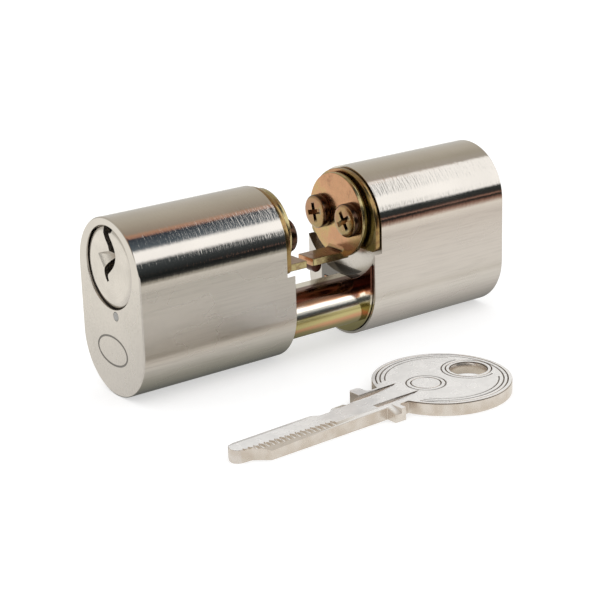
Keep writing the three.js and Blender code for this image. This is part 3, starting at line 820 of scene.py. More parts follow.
def housing_bores():
    """Every small round hole of a housing: chambers, drill pin, dowel and end-plate pegs."""
    foot = FLOOR_Z - OVERCUT
    tools = [rod("chamber", CHAMBER_RADIUS, foot, AXIS_Z, (x, 0), SMALL_STEPS, "Z") for x in PIN_XS]
    drill_place = ((DRILL_PIN_LOW.y + DRILL_PIN_HIGH.y) / 2, (DRILL_PIN_LOW.z + DRILL_PIN_HIGH.z) / 2)
    drill_radius = (DRILL_PIN_HIGH.z - DRILL_PIN_LOW.z) / 2 + CLOSE_GAP
    tools.append(rod("drill", drill_radius, FACE_X - OVERCUT, DRILL_PIN_HIGH.x + FIT_GAP, drill_place))
    dowel_radius = DOWEL_HIGH.y + CLOSE_GAP
    tools.append(rod("dowel", dowel_radius, foot, DOWEL_HOLE_TOP_Z, (DOWEL_X, 0), SMALL_STEPS, "Z"))
    for y in (-PEG_Y, PEG_Y):
        place = (y, PEG_Z)
        tools.append(rod("peg", PEG_RADIUS + FIT_GAP, PLATE_LOW.x - FIT_GAP, UPPER_END_X + OVERCUT, place))
    return gather("housing_bores", tools)


def make_housing(name, away_side):
    """A housing in the front's place, with its bores, cam recess, bridge pockets and engraved oval."""
    inner_end = LOWER_END_X + OVERCUT
    housing = rounded_oval(name, FACE_X, LOWER_END_X, shapes().face_edge, INNER_EDGE)
    recess = rod("recess", SWEEP_RADIUS, UPPER_END_X, inner_end, (0, AXIS_Z), 2 * BORE_STEPS)
    bore = turned("bore", [
        (FACE_X - OVERCUT, HEAD_BORE_RADIUS + BORE_MOUTH + OVERCUT),
        (FACE_X + BORE_MOUTH, HEAD_BORE_RADIUS),
        (FACE_X + HEAD_BORE_DEPTH, HEAD_BORE_RADIUS),
        (FACE_X + HEAD_BORE_DEPTH, PLUG_BORE_RADIUS),
        (LOWER_END_X, PLUG_BORE_RADIUS),
    ], (0, AXIS_Z), BORE_STEPS)
    pocket = flange_solid("pocket", -FLANGE_END_X - FIT_GAP, inner_end, FLANGE_INSET - FIT_GAP, away_side)
    tenon = block(
        "tenon",
        (BRIDGE_LOW.x - FIT_GAP, -TENON_HALF_WIDTH - FIT_GAP, TENON_LOW_Z - FIT_GAP),
        (LOWER_END_X, TENON_HALF_WIDTH + FIT_GAP, TENON_HIGH_Z + FIT_GAP),
    )
    oval = ellipse(MARK_CENTRE, MARK_HALF_WIDTH, MARK_HALF_HEIGHT, BORE_STEPS)
    mark = groove_tool("mark", oval, shapes().mark_line, shapes().mark_depth, on_face)
    return cut(housing, recess, bore, pocket, tenon, housing_bores(), mark)


class LOCK_OT_make_housings(bpy.types.Operator):
    """Makes both nickel-plated housings"""

    bl_idname = "lock.make_housings"
    bl_label = "Make housings"

    def execute(self, context):
        finish = kept_material("housing_nickel", make_housing_nickel)
        front = make_housing("front_housing", 1)
        spare = make_housing("spare_housing", -1)
        rear = half_turned_copy(spare, "rear_housing")
        discard(spare)
        finish_piece(front, "front_body", "root", finish)
        finish_piece(rear, "rear_body", "root", finish)
        return {"FINISHED"}


# Plugs.

PLUG_HEAD_LENGTH = 2.3
RIM_SLOPE = 0.32
RIM_STEP = 0.05
RIM_EDGE = 0.06
BARREL_CHAMFER = 0.2
THREAD_DEPTH = 6.1
KEYWAY_LENGTH = 29.0
# The keyway's winding line in (y, z), with the slot's width there.
KEYWAY_LINE = (
    (0.6, 11.7, 0.6),
    (0.98, 12.4, 0.85),
    (1.0, 13.2, 1.3),
    (0.4, 14.2, 1.9),
    (-0.75, 15.3, 1.9),
    (-1.27, 16.3, 1.85),
    (-1.25, 17.1, 1.85),
    (-1.0, 17.8, 1.7),
    (-0.62, 18.5, 1.55),
    (0.05, 19.4, 1.55),
    (0.32, 20.3, 1.9),
    (0.12, 21.0, 2.9),
    (0.1, 22.2, 3.0),
)
# Rim of the three-sided lead-in beside the keyway, in (y, z), and the place of its deepest point.
LEAD_IN_RIM = ((3.3, 16.0), (1.8, 14.0), (1.3, 13.7), (-2.2, 16.7), (-2.1, 17.25), (-0.4, 17.15))
LEAD_IN_DEEPEST = (0.3, 15.9)
LEAD_IN_DEPTH = 1.9
# How much is left of a tool's section where it runs out to a point.
POINT_SHARE = 0.02


def smooth_line(points, steps):
    """A smooth line through points of any dimension."""
    line = []
    last = len(points) - 1
    for index in range(last):
        before, start, end, after = (points[max(0, min(last, index + k))] for k in (-1, 0, 1, 2))
        for step in range(steps):
            t = step / steps
            line.append(tuple(
                0.5 * (2 * b + (c - a) * t + (2 * a - 5 * b + 4 * c - d) * t * t
                       + (3 * b - a - 3 * c + d) * t ** 3)
                for a, b, c, d in zip(before, start, end, after)
            ))
    line.append(tuple(points[-1]))
    return line


def keyway_section():
    """Outline of the keyway's slot in (y, z)."""
    line = smooth_line(KEYWAY_LINE, 5)
    left = []
    right = []
    for index, (y, z, width) in enumerate(line):
        ahead = line[min(index + 1, len(line) - 1)]
        behind = line[max(index - 1, 0)]
        run = Vector((ahead[0] - behind[0], ahead[1] - behind[1])).normalized()
        left.append((y - run.y * width / 2, z + run.x * width / 2))
        right.append((y + run.y * width / 2, z - run.x * width / 2))
    return right + left[::-1]


def lead_in_ring(x, share):
    """The lead-in's rim, drawn towards its deepest point and set at x."""
    deep_y, deep_z = LEAD_IN_DEEPEST
    return [(x, deep_y + (y - deep_y) * share, deep_z + (z - deep_z) * share) for y, z in LEAD_IN_RIM]


def make_plug(name):
    """The front plug: a bevelled head, the barrel, the keyway, its countersink and the pin holes."""
    face, end = PLUG_LOW.x, PLUG_HIGH.x
    chamfer = shapes().plug_chamfer
    rim = face + RIM_SLOPE * chamfer
    head_end = face + PLUG_HEAD_LENGTH
    plug = turned(name, [
        (face, PLUG_HEAD_RADIUS - chamfer - RIM_STEP),
        (rim, PLUG_HEAD_RADIUS - RIM_STEP),
        (rim + RIM_EDGE, PLUG_HEAD_RADIUS),
        (head_end, PLUG_HEAD_RADIUS),
        (head_end, BARREL_RADIUS),
        (end - BARREL_CHAMFER, BARREL_RADIUS),
        (end, BARREL_RADIUS - BARREL_CHAMFER),
    ], (0, AXIS_Z), BORE_STEPS)
    keyway = prism_x("keyway", keyway_section(), face - OVERCUT, face + KEYWAY_LENGTH)
    lead_in = loft("lead_in", [
        lead_in_ring(face - OVERCUT, 1 + OVERCUT / LEAD_IN_DEPTH),
        lead_in_ring(face + LEAD_IN_DEPTH, POINT_SHARE),
    ])
    holes = [rod("hole", CHAMBER_RADIUS, 0, PIN_HOLE_TOP_Z, (x, 0), SMALL_STEPS, "Z") for x in PIN_XS]
    for y in (-SCREW_OFFSET_Y, SCREW_OFFSET_Y):
        holes.append(rod("thread", SCREW_HOLE_RADIUS, end - THREAD_DEPTH, end + OVERCUT, (y, AXIS_Z)))
    return cut(plug, keyway, lead_in, gather("plug_holes", holes))


class LOCK_OT_make_plugs(bpy.types.Operator):
    """Makes both turning plugs"""

    bl_idname = "lock.make_plugs"
    bl_label = "Make plugs"

    def execute(self, context):
        finish = kept_material("plug_nickel", make_plug_nickel)
        front = make_plug("front_turning_plug")
        rear = half_turned_copy(front, "rear_turning_plug")
        finish_piece(front, "front_plug", "front_plug_and_cam", finish)
        finish_piece(rear, "rear_plug", "rear_plug_and_cam", finish)
        return {"FINISHED"}


# Cams.

CAM_THICKNESS = 1.1
CAM_RADIUS = 7.7
TONGUE_HALF_WIDTH = 2.25
TONGUE_TOP_Z = 7.85
TONGUE_THICKNESS = 1.35
TONGUE_BEND = 0.9
TONGUE_EDGE = 0.14
TONGUE_ROOT = 0.1
CAM_EDGE = 0.12
LUG_NEAR_X = -3.5
LUG_FAR_X = -1.3
LUG_HALF_WIDTH = 0.9
LUG_ROOT = 0.5
# Heights over which the top tone, a painted shade, ends above the tongue, and over which the painted shade of
# the lug begins.
TONGUE_TOP_SHADE_Z = (8.8, 9.6)
LUG_SHADE_Z = (6.1, 6.5)


def tongue_side():
    """Side outline of the tongue in (x, z), with its bend at the disc."""
    root = CAM_LOW.x + TONGUE_ROOT
    disc_face = CAM_LOW.x + CAM_THICKNESS
    end = CAM_HIGH.x
    bend_z = TONGUE_TOP_Z + TONGUE_BEND
    bottom = TONGUE_TOP_Z - TONGUE_THICKNESS
    side = [(root, bend_z), (disc_face, bend_z)]
    side += arc((disc_face + TONGUE_BEND, bend_z), TONGUE_BEND, 180, 270, 8)[1:]
    side += [(end, TONGUE_TOP_Z), (end, bottom), (root, bottom)]
    return side


def lug_side():
    """Side outline of the lug in (x, z), with its round foot."""
    radius = (LUG_FAR_X - LUG_NEAR_X) / 2
    root = TONGUE_TOP_Z - LUG_ROOT
    side = arc(((LUG_NEAR_X + LUG_FAR_X) / 2, REAR_CAM_LOW.z + radius), radius, 180, 360, 12)
    return side + [(LUG_FAR_X, root), (LUG_NEAR_X, root)]


def make_cam(name, with_lug):
    """A cam: its disc, its bent tongue and, on the rear one, a lug under the tongue's end."""
    back = CAM_LOW.x
    front = back + CAM_THICKNESS
    cam = turned(name, [
        (back, CAM_RADIUS - CAM_EDGE),
        (back + CAM_EDGE, CAM_RADIUS),
        (front - CAM_EDGE, CAM_RADIUS),
        (front, CAM_RADIUS - CAM_EDGE),
    ], (0, AXIS_Z), BORE_STEPS)
    tongue = prism_y("tongue", tongue_side(), -TONGUE_HALF_WIDTH, TONGUE_HALF_WIDTH)
    parts = [soften(tongue, TONGUE_EDGE)]
    if with_lug:
        parts.append(prism_y("lug", lug_side(), -LUG_HALF_WIDTH, LUG_HALF_WIDTH))
    join(cam, *parts)
    holes = [
        rod("hole", SCREW_HOLE_RADIUS, back - OVERCUT, front + OVERCUT, (y, AXIS_Z))
        for y in (-SCREW_OFFSET_Y, SCREW_OFFSET_Y)
    ]
    return cut(cam, gather("cam_holes", holes))


class LOCK_OT_make_cams(bpy.types.Operator):
    """Makes both chromated cams"""

    bl_idname = "lock.make_cams"
    bl_label = "Make cams"

    def execute(self, context):
        finish = kept_material("cam_chromate", make_cam_chromate)
        front = make_cam("front_cam_disc", False)
        spare = make_cam("spare_cam_disc", True)
        rear = half_turned_copy(spare, "rear_cam_disc")
        discard(spare)
        finish_piece(front, "front_cam", "front_plug_and_cam", finish)
        finish_piece(rear, "rear_cam", "rear_plug_and_cam", finish)
        return {"FINISHED"}


# Cam screws.

SCREW_HEAD_RADIUS = 3.05
SCREW_HEAD_HEIGHT = 1.6
SCREW_LENGTH = 7.1
SHANK_RADIUS = 1.4
SHANK_TIP = 0.4
SCREW_SEAT_GAP = 0.05
HEAD_EDGE = 0.12
# The head's crown: how far each point lies below the top and in from the side.
HEAD_CROWN = ((0.5, 0.0), (0.33, 0.05), (0.19, 0.18), (0.11, 0.38), (0.05, 0.9), (0.0, 1.9))
# The cross recess: height above the head's top, half length and half width, at its floor and above its mouth.
RECESS_LEVELS = ((-1.15, 0.6, 0.26), (0.3, 1.95, 0.5))
# The turn in degrees at which each screw was tightened.
SCREW_TURNS = (14.0, 33.0)


def cross_section(half_length, half_width, turn, centre):
    """Outline of a cross recess in (y, z), turned by an angle in degrees."""
    arm = ((half_length, -half_width), (half_length, half_width), (half_width, half_width))
    section = []
    for quarter in range(4):
        angle = math.radians(turn + 90 * quarter)
        for y, z in arm:
            section.append((
                centre[0] + y * math.cos(angle) - z * math.sin(angle),
                centre[1] + y * math.sin(angle) + z * math.cos(angle),
            ))
    return section


def make_cam_screw(name, y, turn):
    """A pan-head screw on the front cam, with a cross recess turned as it was tightened."""
    seat = CAM_LOW.x + CAM_THICKNESS + SCREW_SEAT_GAP
    top = seat + SCREW_HEAD_HEIGHT
    centre = (y, AXIS_Z)
    profile = [
        (seat - SCREW_LENGTH, SHANK_RADIUS - SHANK_TIP),
        (seat - SCREW_LENGTH + SHANK_TIP, SHANK_RADIUS),
        (seat, SHANK_RADIUS),
        (seat, SCREW_HEAD_RADIUS - HEAD_EDGE),
        (seat + HEAD_EDGE, SCREW_HEAD_RADIUS),
    ]
    profile += [(top - drop, SCREW_HEAD_RADIUS - inward) for drop, inward in HEAD_CROWN]
    screw = turned(name, profile, centre, BORE_STEPS // 2)
    rings = []
    for rise, half_length, half_width in RECESS_LEVELS:
        rings.append([(top + rise, a, b) for a, b in cross_section(half_length, half_width, turn, centre)])
    return cut(screw, loft("recess", rings))


class LOCK_OT_make_cam_screws(bpy.types.Operator):
    """Makes the two screws of each cam"""

    bl_idname = "lock.make_cam_screws"
    bl_label = "Make cam screws"

    def execute(self, context):
        finish = kept_material("screw_chromate", make_screw_chromate)
        for number, y, turn in zip((1, 2), (-SCREW_OFFSET_Y, SCREW_OFFSET_Y), SCREW_TURNS):
            front = make_cam_screw(f"front_pan_screw_{number}", y, turn)
            rear = half_turned_copy(front, f"rear_pan_screw_{number}")
            finish_piece(front, f"front_cam_screw_{number}", "front_plug_and_cam", finish)
            finish_piece(rear, f"rear_cam_screw_{number}", "rear_plug_and_cam", finish)
        return {"FINISHED"}


# End plates.

PLATE_CORNER = 1.2
PLATE_EDGE = 0.12
PLATE_BORE_RADIUS = 6.78
PEG_ROOT = 0.3


def make_end_plate(name):
    """The open ring behind the front cam, with rounded feet and two pegs into the housing."""
    radius = PLATE_HIGH.y
    back = UPPER_END_X + FIT_GAP
    corner_z = PLATE_LOW.z + PLATE_CORNER
    section = arc((0, HIGH_CENTRE_Z), radius, 0, 180, ARC_STEPS)
    section += arc((-radius + PLATE_CORNER, corner_z), PLATE_CORNER, 180, 270, 6)
    section += arc((radius - PLATE_CORNER, corner_z), PLATE_CORNER, 270, 360, 6)
    plate = soften(prism_x(name, section, back, PLATE_HIGH.x), PLATE_EDGE)
    pegs = [rod("peg", PEG_RADIUS, PLATE_LOW.x, back + PEG_ROOT, (y, PEG_Z)) for y in (-PEG_Y, PEG_Y)]
    join(plate, gather("pegs", pegs))
    bore_ends = (back - OVERCUT, PLATE_HIGH.x + OVERCUT)
    return cut(plate, rod("bore", PLATE_BORE_RADIUS, *bore_ends, (0, AXIS_Z), BORE_STEPS))


class LOCK_OT_make_end_plates(bpy.types.Operator):
    """Makes the fixed plates behind the cams"""

    bl_idname = "lock.make_end_plates"
    bl_label = "Make end plates"

    def execute(self, context):
        finish = kept_material("plate_chromate", make_plate_chromate)
        front = make_end_plate("front_ring_plate")
        rear = half_turned_copy(front, "rear_ring_plate")
        finish_piece(front, "front_end_plate", "root", finish)
        finish_piece(rear, "rear_end_plate", "root", finish)
        return {"FINISHED"}


# Bridge.

BAR_END_X = 8.62
BAR_CENTRE_Y = -2.75
BAR_CENTRE_Z = -1.47
BAR_RADIUS = 4.45
BAR_FAR_Y = 0.6
BAR_BOTTOM_Z = -4.3
# Where the painted highlight, a pale strip on the bar's flat top, begins.
TOP_HIGHLIGHT_Y = (-1.9, -1.4)
FIXING_HOLE_RADIUS = 2.1
FIXING_HOLE_END_Y = -5.0
HOLE_MOUTH_WIDTH = 0.4
HOLE_MOUTH_DEPTH = 0.3
BAR_EDGE = 0.1
FLANGE_EDGE = 0.12
FLANGE_OVERLAP = 0.4


def bar_section():
    """Outline of the bridge's bar in (y, z): round on the near side and flat elsewhere."""
    foot = 180 + math.degrees(math.asin((BAR_CENTRE_Z - BAR_BOTTOM_Z) / BAR_RADIUS))
    section = [(BAR_FAR_Y, BAR_BOTTOM_Z), (BAR_FAR_Y, BAR_CENTRE_Z + BAR_RADIUS)]
    return section + arc((BAR_CENTRE_Y, BAR_CENTRE_Z), BAR_RADIUS, 90, foot, ARC_STEPS)


def make_bridge(name):
    """The bar that joins the halves, with its flanges, tenons, dowel holes and fixing hole."""
    bridge = soften(prism_x(name, bar_section(), -BAR_END_X, BAR_END_X), BAR_EDGE)
    dowel_ends = (TENON_LOW_Z - OVERCUT, TENON_HIGH_Z + OVERCUT)
    parts = []
    holes = []
    for side in (-1, 1):
        near, far = sorted((side * (BAR_END_X - FLANGE_OVERLAP), side * FLANGE_END_X))
        parts.append(soften(flange_solid("flange", near, far, FLANGE_INSET, 1), FLANGE_EDGE))
        near, far = sorted((side * BAR_END_X, side * BRIDGE_HIGH.x))
        parts.append(block(
            "tenon",
            (near, -TENON_HALF_WIDTH, TENON_LOW_Z),
            (far, TENON_HALF_WIDTH, TENON_HIGH_Z),
        ))
        centre = (-side * DOWEL_X, 0)
        holes.append(rod("dowel_hole", DOWEL_HIGH.y + FIT_GAP, *dowel_ends, centre, SMALL_STEPS, "Z"))
    join(bridge, *parts)
    mouth_start = BAR_FAR_Y - HOLE_MOUTH_DEPTH
    mouth_radius = FIXING_HOLE_RADIUS + HOLE_MOUTH_WIDTH
    fixing = turned("fixing_hole", [
        (FIXING_HOLE_END_Y, FIXING_HOLE_RADIUS),
        (mouth_start, FIXING_HOLE_RADIUS),
        (mouth_start + HOLE_MOUTH_WIDTH, mouth_radius),
        (BAR_FAR_Y + OVERCUT, mouth_radius),
    ], (0, 0), SMALL_STEPS, "Z")
    fixing.data.transform(Matrix.Rotation(-math.pi / 2, 4, "X"))
    holes.append(fixing)
    return cut(bridge, gather("bridge_holes", holes))


class LOCK_OT_make_bridge(bpy.types.Operator):
    """Makes the bridge between the halves"""

    bl_idname = "lock.make_bridge"
    bl_label = "Make bridge"

    def execute(self, context):
        finish = kept_material("bridge_chromate", make_bridge_chromate_and_reflections)
        finish_piece(make_bridge("bridge_bar"), "bridge", "root", finish)
        return {"FINISHED"}


# Key.

# Where the key's tip lies, and its turn from the lock's length.
KEY_TIP = (-40.9, -35.4)
KEY_TURN = math.radians(2.2)
KEY_THICKNESS = 2.2
KEY_EDGE = 0.1
BOW_RADIUS = 11.7
BOW_CENTRE = (44.1, 0)
RING_HOLE_CENTRE = (50.3, 0)
RING_HOLE_RADIUS = 3.15
RING_HOLE_FLARE = 1.2
RING_HOLE_EDGE = 0.2
NECK_HALF_WIDTH = 3.9
KEY_BACK = -3.65
LUG_START = 28.7
LUG_END = 31.0
# The blade's sloped faces: their tool's reach, the width over which their drop is counted, and its height.
MILL_REACH = 4.0
MILL_WIDTH = 1.3
MILL_HEIGHT = 2.0
MILL_OVERLAP = 0.02
# Each slope's ridge as (along, across, share of its drop), and the drops.
NEAR_RIDGE = ((-2.0, -1.75, 1.0), (30.0, -3.1, 0.7))
FAR_RIDGE = ((-2.0, 1.1, 1.0), (26.0, 1.4, 1.0))
NEAR_DROP = 0.62
FAR_DROP = 0.3
# The grooves: name, start, near and far wall, the point's place along and across, and depth.
RUN_OUT_GROOVES = (
    ("far_groove", 24.6, 1.5, 3.4, 36.8, 3.3, 0.7),
    ("near_groove", 27.5, -3.0, -1.5, 37.6, -1.6, 0.5),
)
# Where a groove runs out on the bow: distance before its point, and share of its section left there.
RUN_OUT = ((6.5, 1.0), (4.0, 0.8), (2.0, 0.5), (0.0, POINT_SHARE))
RUN_OUT_LIFT = 0.5
# The scallops that the cutter left along the near slope.
TOOL_MARKS = 18
TOOL_MARK_START = 1.6
TOOL_MARK_PITCH = 0.98
TOOL_MARK_LIFT = 0.27
TOOL_MARK_PROFILE = ((-0.75, 0.62), (0.25, 0.5), (0.7, 0.3))
TOOL_MARK_FIRST_ACROSS = -1.75
TOOL_MARK_SLANT = -1.35 / 30.0
LINE_STEP_DEGREES = 4
FEWEST_LINE_STEPS = 12
# The engraved rings: name, centre, radius, first and last angle in degrees, and width.
MARK_RING_CENTRE = (40.5, 0)
ENGRAVED_RINGS = (
    ("rim_outer", BOW_CENTRE, 11.0, -152, 152, 0.22),
    ("rim_middle", BOW_CENTRE, 10.3, -150, 150, 0.3),
    ("rim_inner_near", BOW_CENTRE, 9.5, -146, -40, 0.26),
    ("rim_inner_far", BOW_CENTRE, 9.5, 40, 146, 0.26),
    ("hole_inner", RING_HOLE_CENTRE, 3.9, 0, 360, 0.22),
    ("hole_outer", RING_HOLE_CENTRE, 4.6, 75, 285, 0.3),
    ("mark_outer", MARK_RING_CENTRE, 3.3, 0, 360, 0.3),
    ("mark_inner", MARK_RING_CENTRE, 2.5, 0, 360, 0.22),
)


def key_plan():
    """The key's outline: along the blade from its tip, then across it towards the cuts."""
    swing = math.degrees(math.asin(NECK_HALF_WIDTH / BOW_RADIUS))
    tip_and_back = [(0.0, -0.2), (0.12, -0.75), (0.6, -1.3), (1.3, -1.5), (3.0, -1.65), (5.2, KEY_BACK)]
    near_lug = [
        (LUG_START, KEY_BACK), (LUG_START, -5.5), (LUG_START + 0.15, -5.65), (LUG_END - 0.15, -5.65),
        (LUG_END, -5.5), (LUG_END, -NECK_HALF_WIDTH - 0.5), (LUG_END + 0.2, -NECK_HALF_WIDTH - 0.1),
        (LUG_END + 0.6, -NECK_HALF_WIDTH),
    ]
    bow = arc(BOW_CENTRE, BOW_RADIUS, swing - 180, 180 - swing, BORE_STEPS)
    far_lug = [
        (LUG_END + 0.6, NECK_HALF_WIDTH), (LUG_END + 0.2, NECK_HALF_WIDTH + 0.1),
        (LUG_END, NECK_HALF_WIDTH + 0.5), (LUG_END, 5.6), (LUG_END - 0.5, 6.1),
        (LUG_START + 0.5, 6.1), (LUG_START, 5.6), (LUG_START, 3.4),
    ]
    cuts = [
        (26.2, 3.0), (24.8, 2.6), (22.4, 2.5), (21.9, 2.3), (20.8, 1.25), (20.5, 1.15), (18.6, 1.15),
        (18.4, 1.25), (17.5, 2.3), (17.2, 2.4), (2.0, 2.1), (0.7, 1.5), (0.15, 0.6),
    ]
    return tip_and_back + near_lug + bow + far_lug + cuts


def milled_side(name, stations, drop, outward):
    """A tool that slopes the blade's face down from its ridge, at stations (along, across, share of drop)."""
    top = KEY_THICKNESS
    rings = []
    for along, across, share in stations:
        edge = across + outward * MILL_REACH
        fall = drop * MILL_REACH / MILL_WIDTH * share
        rings.append([
            (along, across, top),
            (along, edge, top - fall),
            (along, edge, top + MILL_HEIGHT),
            (along, across - outward * MILL_OVERLAP, top + MILL_HEIGHT),
        ])
    return loft(name, rings)


def run_out_groove(name, start, near_wall, far_wall, tip, tip_across, depth):
    """A tool for a milled groove that rises and narrows to a point on the bow."""
    top = KEY_THICKNESS
    lifted = top + RUN_OUT_LIFT
    rings = []
    for along, share in [(start, 1.0)] + [(tip - before, share) for before, share in RUN_OUT]:
        low = tip_across + (near_wall - tip_across) * share
        high = tip_across + (far_wall - tip_across) * share
        floor = top - depth * share
        slope = 0.25 * (high - low)
        rings.append([
            (along, low, lifted), (along, low, top), (along, low + slope, floor),
            (along, high - slope / 2, floor), (along, high, top), (along, high, lifted),
        ])
    return loft(name, rings)


def on_key(across, up, depth):
    """A point below the key's upper face."""
    return (across, up, KEY_THICKNESS - depth)


def engraved_arc(name, centre, radius, start, end, width):
    """A tool for an engraved line along part of a circle on the key's face."""
    closed = end - start >= 360
    steps = max(FEWEST_LINE_STEPS, int((end - start) / LINE_STEP_DEGREES))
    line = arc(centre, radius, start, end, steps)
    if closed:
        line = line[:-1]
    return groove_tool(name, line, width, shapes().mark_depth, on_key, closed)


def tool_mark(number):
    """A tool for one of the cutter's scallops, lying across the near slope."""
    along = TOOL_MARK_START + number * TOOL_MARK_PITCH
    across = TOOL_MARK_FIRST_ACROSS + TOOL_MARK_SLANT * along
    mark = turned("mark", [(across + run, radius) for run, radius in TOOL_MARK_PROFILE], (0, 0), 20, "Z")
    laid = Matrix.Rotation(-math.pi / 2, 4, "X")
    mark.data.transform(Matrix.Translation((along, 0, KEY_THICKNESS + TOOL_MARK_LIFT)) @ laid)
    return mark


def make_key(name):
    """The key: milled blade, cut edge, stop lugs, bow with its hole, and plain engraved rings."""
    key = soften(prism_z(name, key_plan(), 0.0, KEY_THICKNESS), KEY_EDGE)
    hole = turned("hole", [
        (-OVERCUT, RING_HOLE_RADIUS + RING_HOLE_FLARE),
        (RING_HOLE_EDGE, RING_HOLE_RADIUS),
        (KEY_THICKNESS - RING_HOLE_EDGE, RING_HOLE_RADIUS),
        (KEY_THICKNESS + OVERCUT, RING_HOLE_RADIUS + RING_HOLE_FLARE),
    ], RING_HOLE_CENTRE, BORE_STEPS, "Z")
    near_side = milled_side("near_side", NEAR_RIDGE, NEAR_DROP, -1)
    far_side = milled_side("far_side", FAR_RIDGE, FAR_DROP, 1)
    grooves = [run_out_groove(*groove) for groove in RUN_OUT_GROOVES]
    cut(key, hole, near_side, far_side, *grooves)
    for number in range(TOOL_MARKS):
        cut(key, tool_mark(number))
    return cut(key, *[engraved_arc(*ring) for ring in ENGRAVED_RINGS])


def place_key(key):
    """Turns the shaped key and lays it on the floor in front of the lock."""
    key.data.transform(Matrix.Translation((*KEY_TIP, FLOOR_Z)) @ Matrix.Rotation(KEY_TURN, 4, "Z"))
    return key


class LOCK_OT_make_key(bpy.types.Operator):
    """Makes the loose key"""

    bl_idname = "lock.make_key"
    bl_label = "Make key"

    def execute(self, context):
        finish = kept_material("key_nickel_silver", make_key_silver)
        finish_piece(place_key(make_key("flat_key")), "key", "key", finish)
        return {"FINISHED"}


# Springs.

SPRING_TURNS = 5
SPRING_WIRE = 0.36
SPRING_STEPS = 24 * SPRING_TURNS


def make_spring(name, low, high):
    """A coil of round wire that fills a box."""
    half = SPRING_WIRE / 2
    radius = (high.x - low.x) / 2 - half
    centre_x, centre_y = (low.x + high.x) / 2, (low.y + high.y) / 2
    rings = []
    for step in range(SPRING_STEPS + 1):
        share = step / SPRING_STEPS
        angle = 2 * math.pi * SPRING_TURNS * share
        height = low.z + half + (high.z - low.z - SPRING_WIRE) * share
        rings.append([
            (centre_x + across * math.cos(angle), centre_y + across * math.sin(angle), up)
            for across, up in arc((radius, height), half, 0, 324, 9)
        ])
    return loft(name, rings)


class LOCK_OT_make_springs(bpy.types.Operator):
    """Makes the springs, each a coil that fills its box in the frame"""

    bl_idname = "lock.make_springs"
    bl_label = "Make springs"

    def execute(self, context):
        steel = kept_material("ground_steel", make_ground_steel)
        for side in ("front", "rear"):
            for number in PIN_NUMBERS:
                node = f"{side}_spring_{number}"
                low, high = box_mm(node)
                spring = smooth_piece(make_spring(f"{side}_coil_{number}", low, high), steel)
                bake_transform(spring)
                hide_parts(node)
        return {"FINISHED"}


class LOCK_OT_finish_small_parts(bpy.types.Operator):
    """Gives the frame's own pins, chamber plugs and dowels their finishes"""

    bl_idname = "lock.finish_small_parts"
    bl_label = "Finish small parts"

    def execute(self, context):
        brass = kept_material("pin_brass", make_pin_brass)
        steel = kept_material("ground_steel", make_ground_steel)
        for name, node in frame["nodes"].items():
            if "key_pin" in name or "driver_pin" in name or "chamber_plug" in name:
                finish = brass
            elif "drill_pin" in name or "dowel" in name:
                finish = steel
            else:
                continue
            for slot in node.material_slots:
                slot.material = finish
        return {"FINISHED"}


# Stage.


# What polished metal sees of the floor before each half, by Y in millimetres: bright, darker in the lock's
# own shade, and dark far out where the floor leaves the light.
FLOOR_FRONT = (
    (-260, (0.01, 0.012, 0.012)), (-130, (0.03, 0.03, 0.027)), (-82, (0.42, 0.4, 0.35)),
    (-64, (0.68, 0.66, 0.61)), (-42, (0.72, 0.705, 0.67)), (-33, (0.56, 0.53, 0.47)),
    (-25, (0.15, 0.13, 0.1)), (-20, (0.66, 0.62, 0.56)), (-14, (0.6, 0.59, 0.56)),
    (-10, (0.39, 0.385, 0.35)), (-7, (0.24, 0.24, 0.21)), (-4, (0.09, 0.095, 0.09)),
    (2, (0.2, 0.2, 0.18)), (12, (0.74, 0.73, 0.7)), (20, (0.78, 0.77, 0.74)),
)
FLOOR_REAR = (
    (-260, (0.025, 0.023, 0.02)), (-150, (0.23, 0.12, 0.09)), (-100, (0.45, 0.33, 0.27)),
    (-64, (0.86, 0.82, 0.76)), (-42, (0.86, 0.84, 0.82)), (-30, (0.84, 0.82, 0.79)),
    (-25, (0.48, 0.46, 0.4)), (-20, (0.83, 0.81, 0.78)), (-14, (0.73, 0.72, 0.69)),
    (-10, (0.58, 0.56, 0.54)), (-7, (0.38, 0.37, 0.35)), (-4, (0.2, 0.2, 0.19)),
    (2, (0.3, 0.3, 0.28)), (12, (0.78, 0.77, 0.74)), (20, (0.8, 0.79, 0.76)),
)
FLOOR_GAIN = 1.3
# Half the floor's width, and its gap under the lock, in metres.
FLOOR_HALF = 1.6
FLOOR_GAP = 0.00002
# Where the front half's floor gives way to the rear half's, and how far that line slants with Y.
FLOOR_DIVIDE_X = (-12, -4)
FLOOR_SLANT = 0.81


def floor_bands(bench):
    """The colours that reflections see on the floor: a row of bands before each half and the outer face."""
    depth = bench.above(bench.across, FLOOR_FRONT[0][0], FLOOR_FRONT[-1][0])
    row = bench.maths("ADD", bench.along, bench.both(bench.across, FLOOR_SLANT))
    rearward = bench.above(row, *FLOOR_DIVIDE_X)
    bands = bench.mix(rearward, bench.strips(depth, FLOOR_FRONT), bench.strips(depth, FLOOR_REAR))
    plain = bench.patch(rgba((0.68, 0.67, 0.65)), rgba((0.86, 0.845, 0.8)), bench.across, 0.0, 0.05)
    return bench.mix(bench.below(bench.along, FACE_X - 0.4, FACE_X), bands, plain)


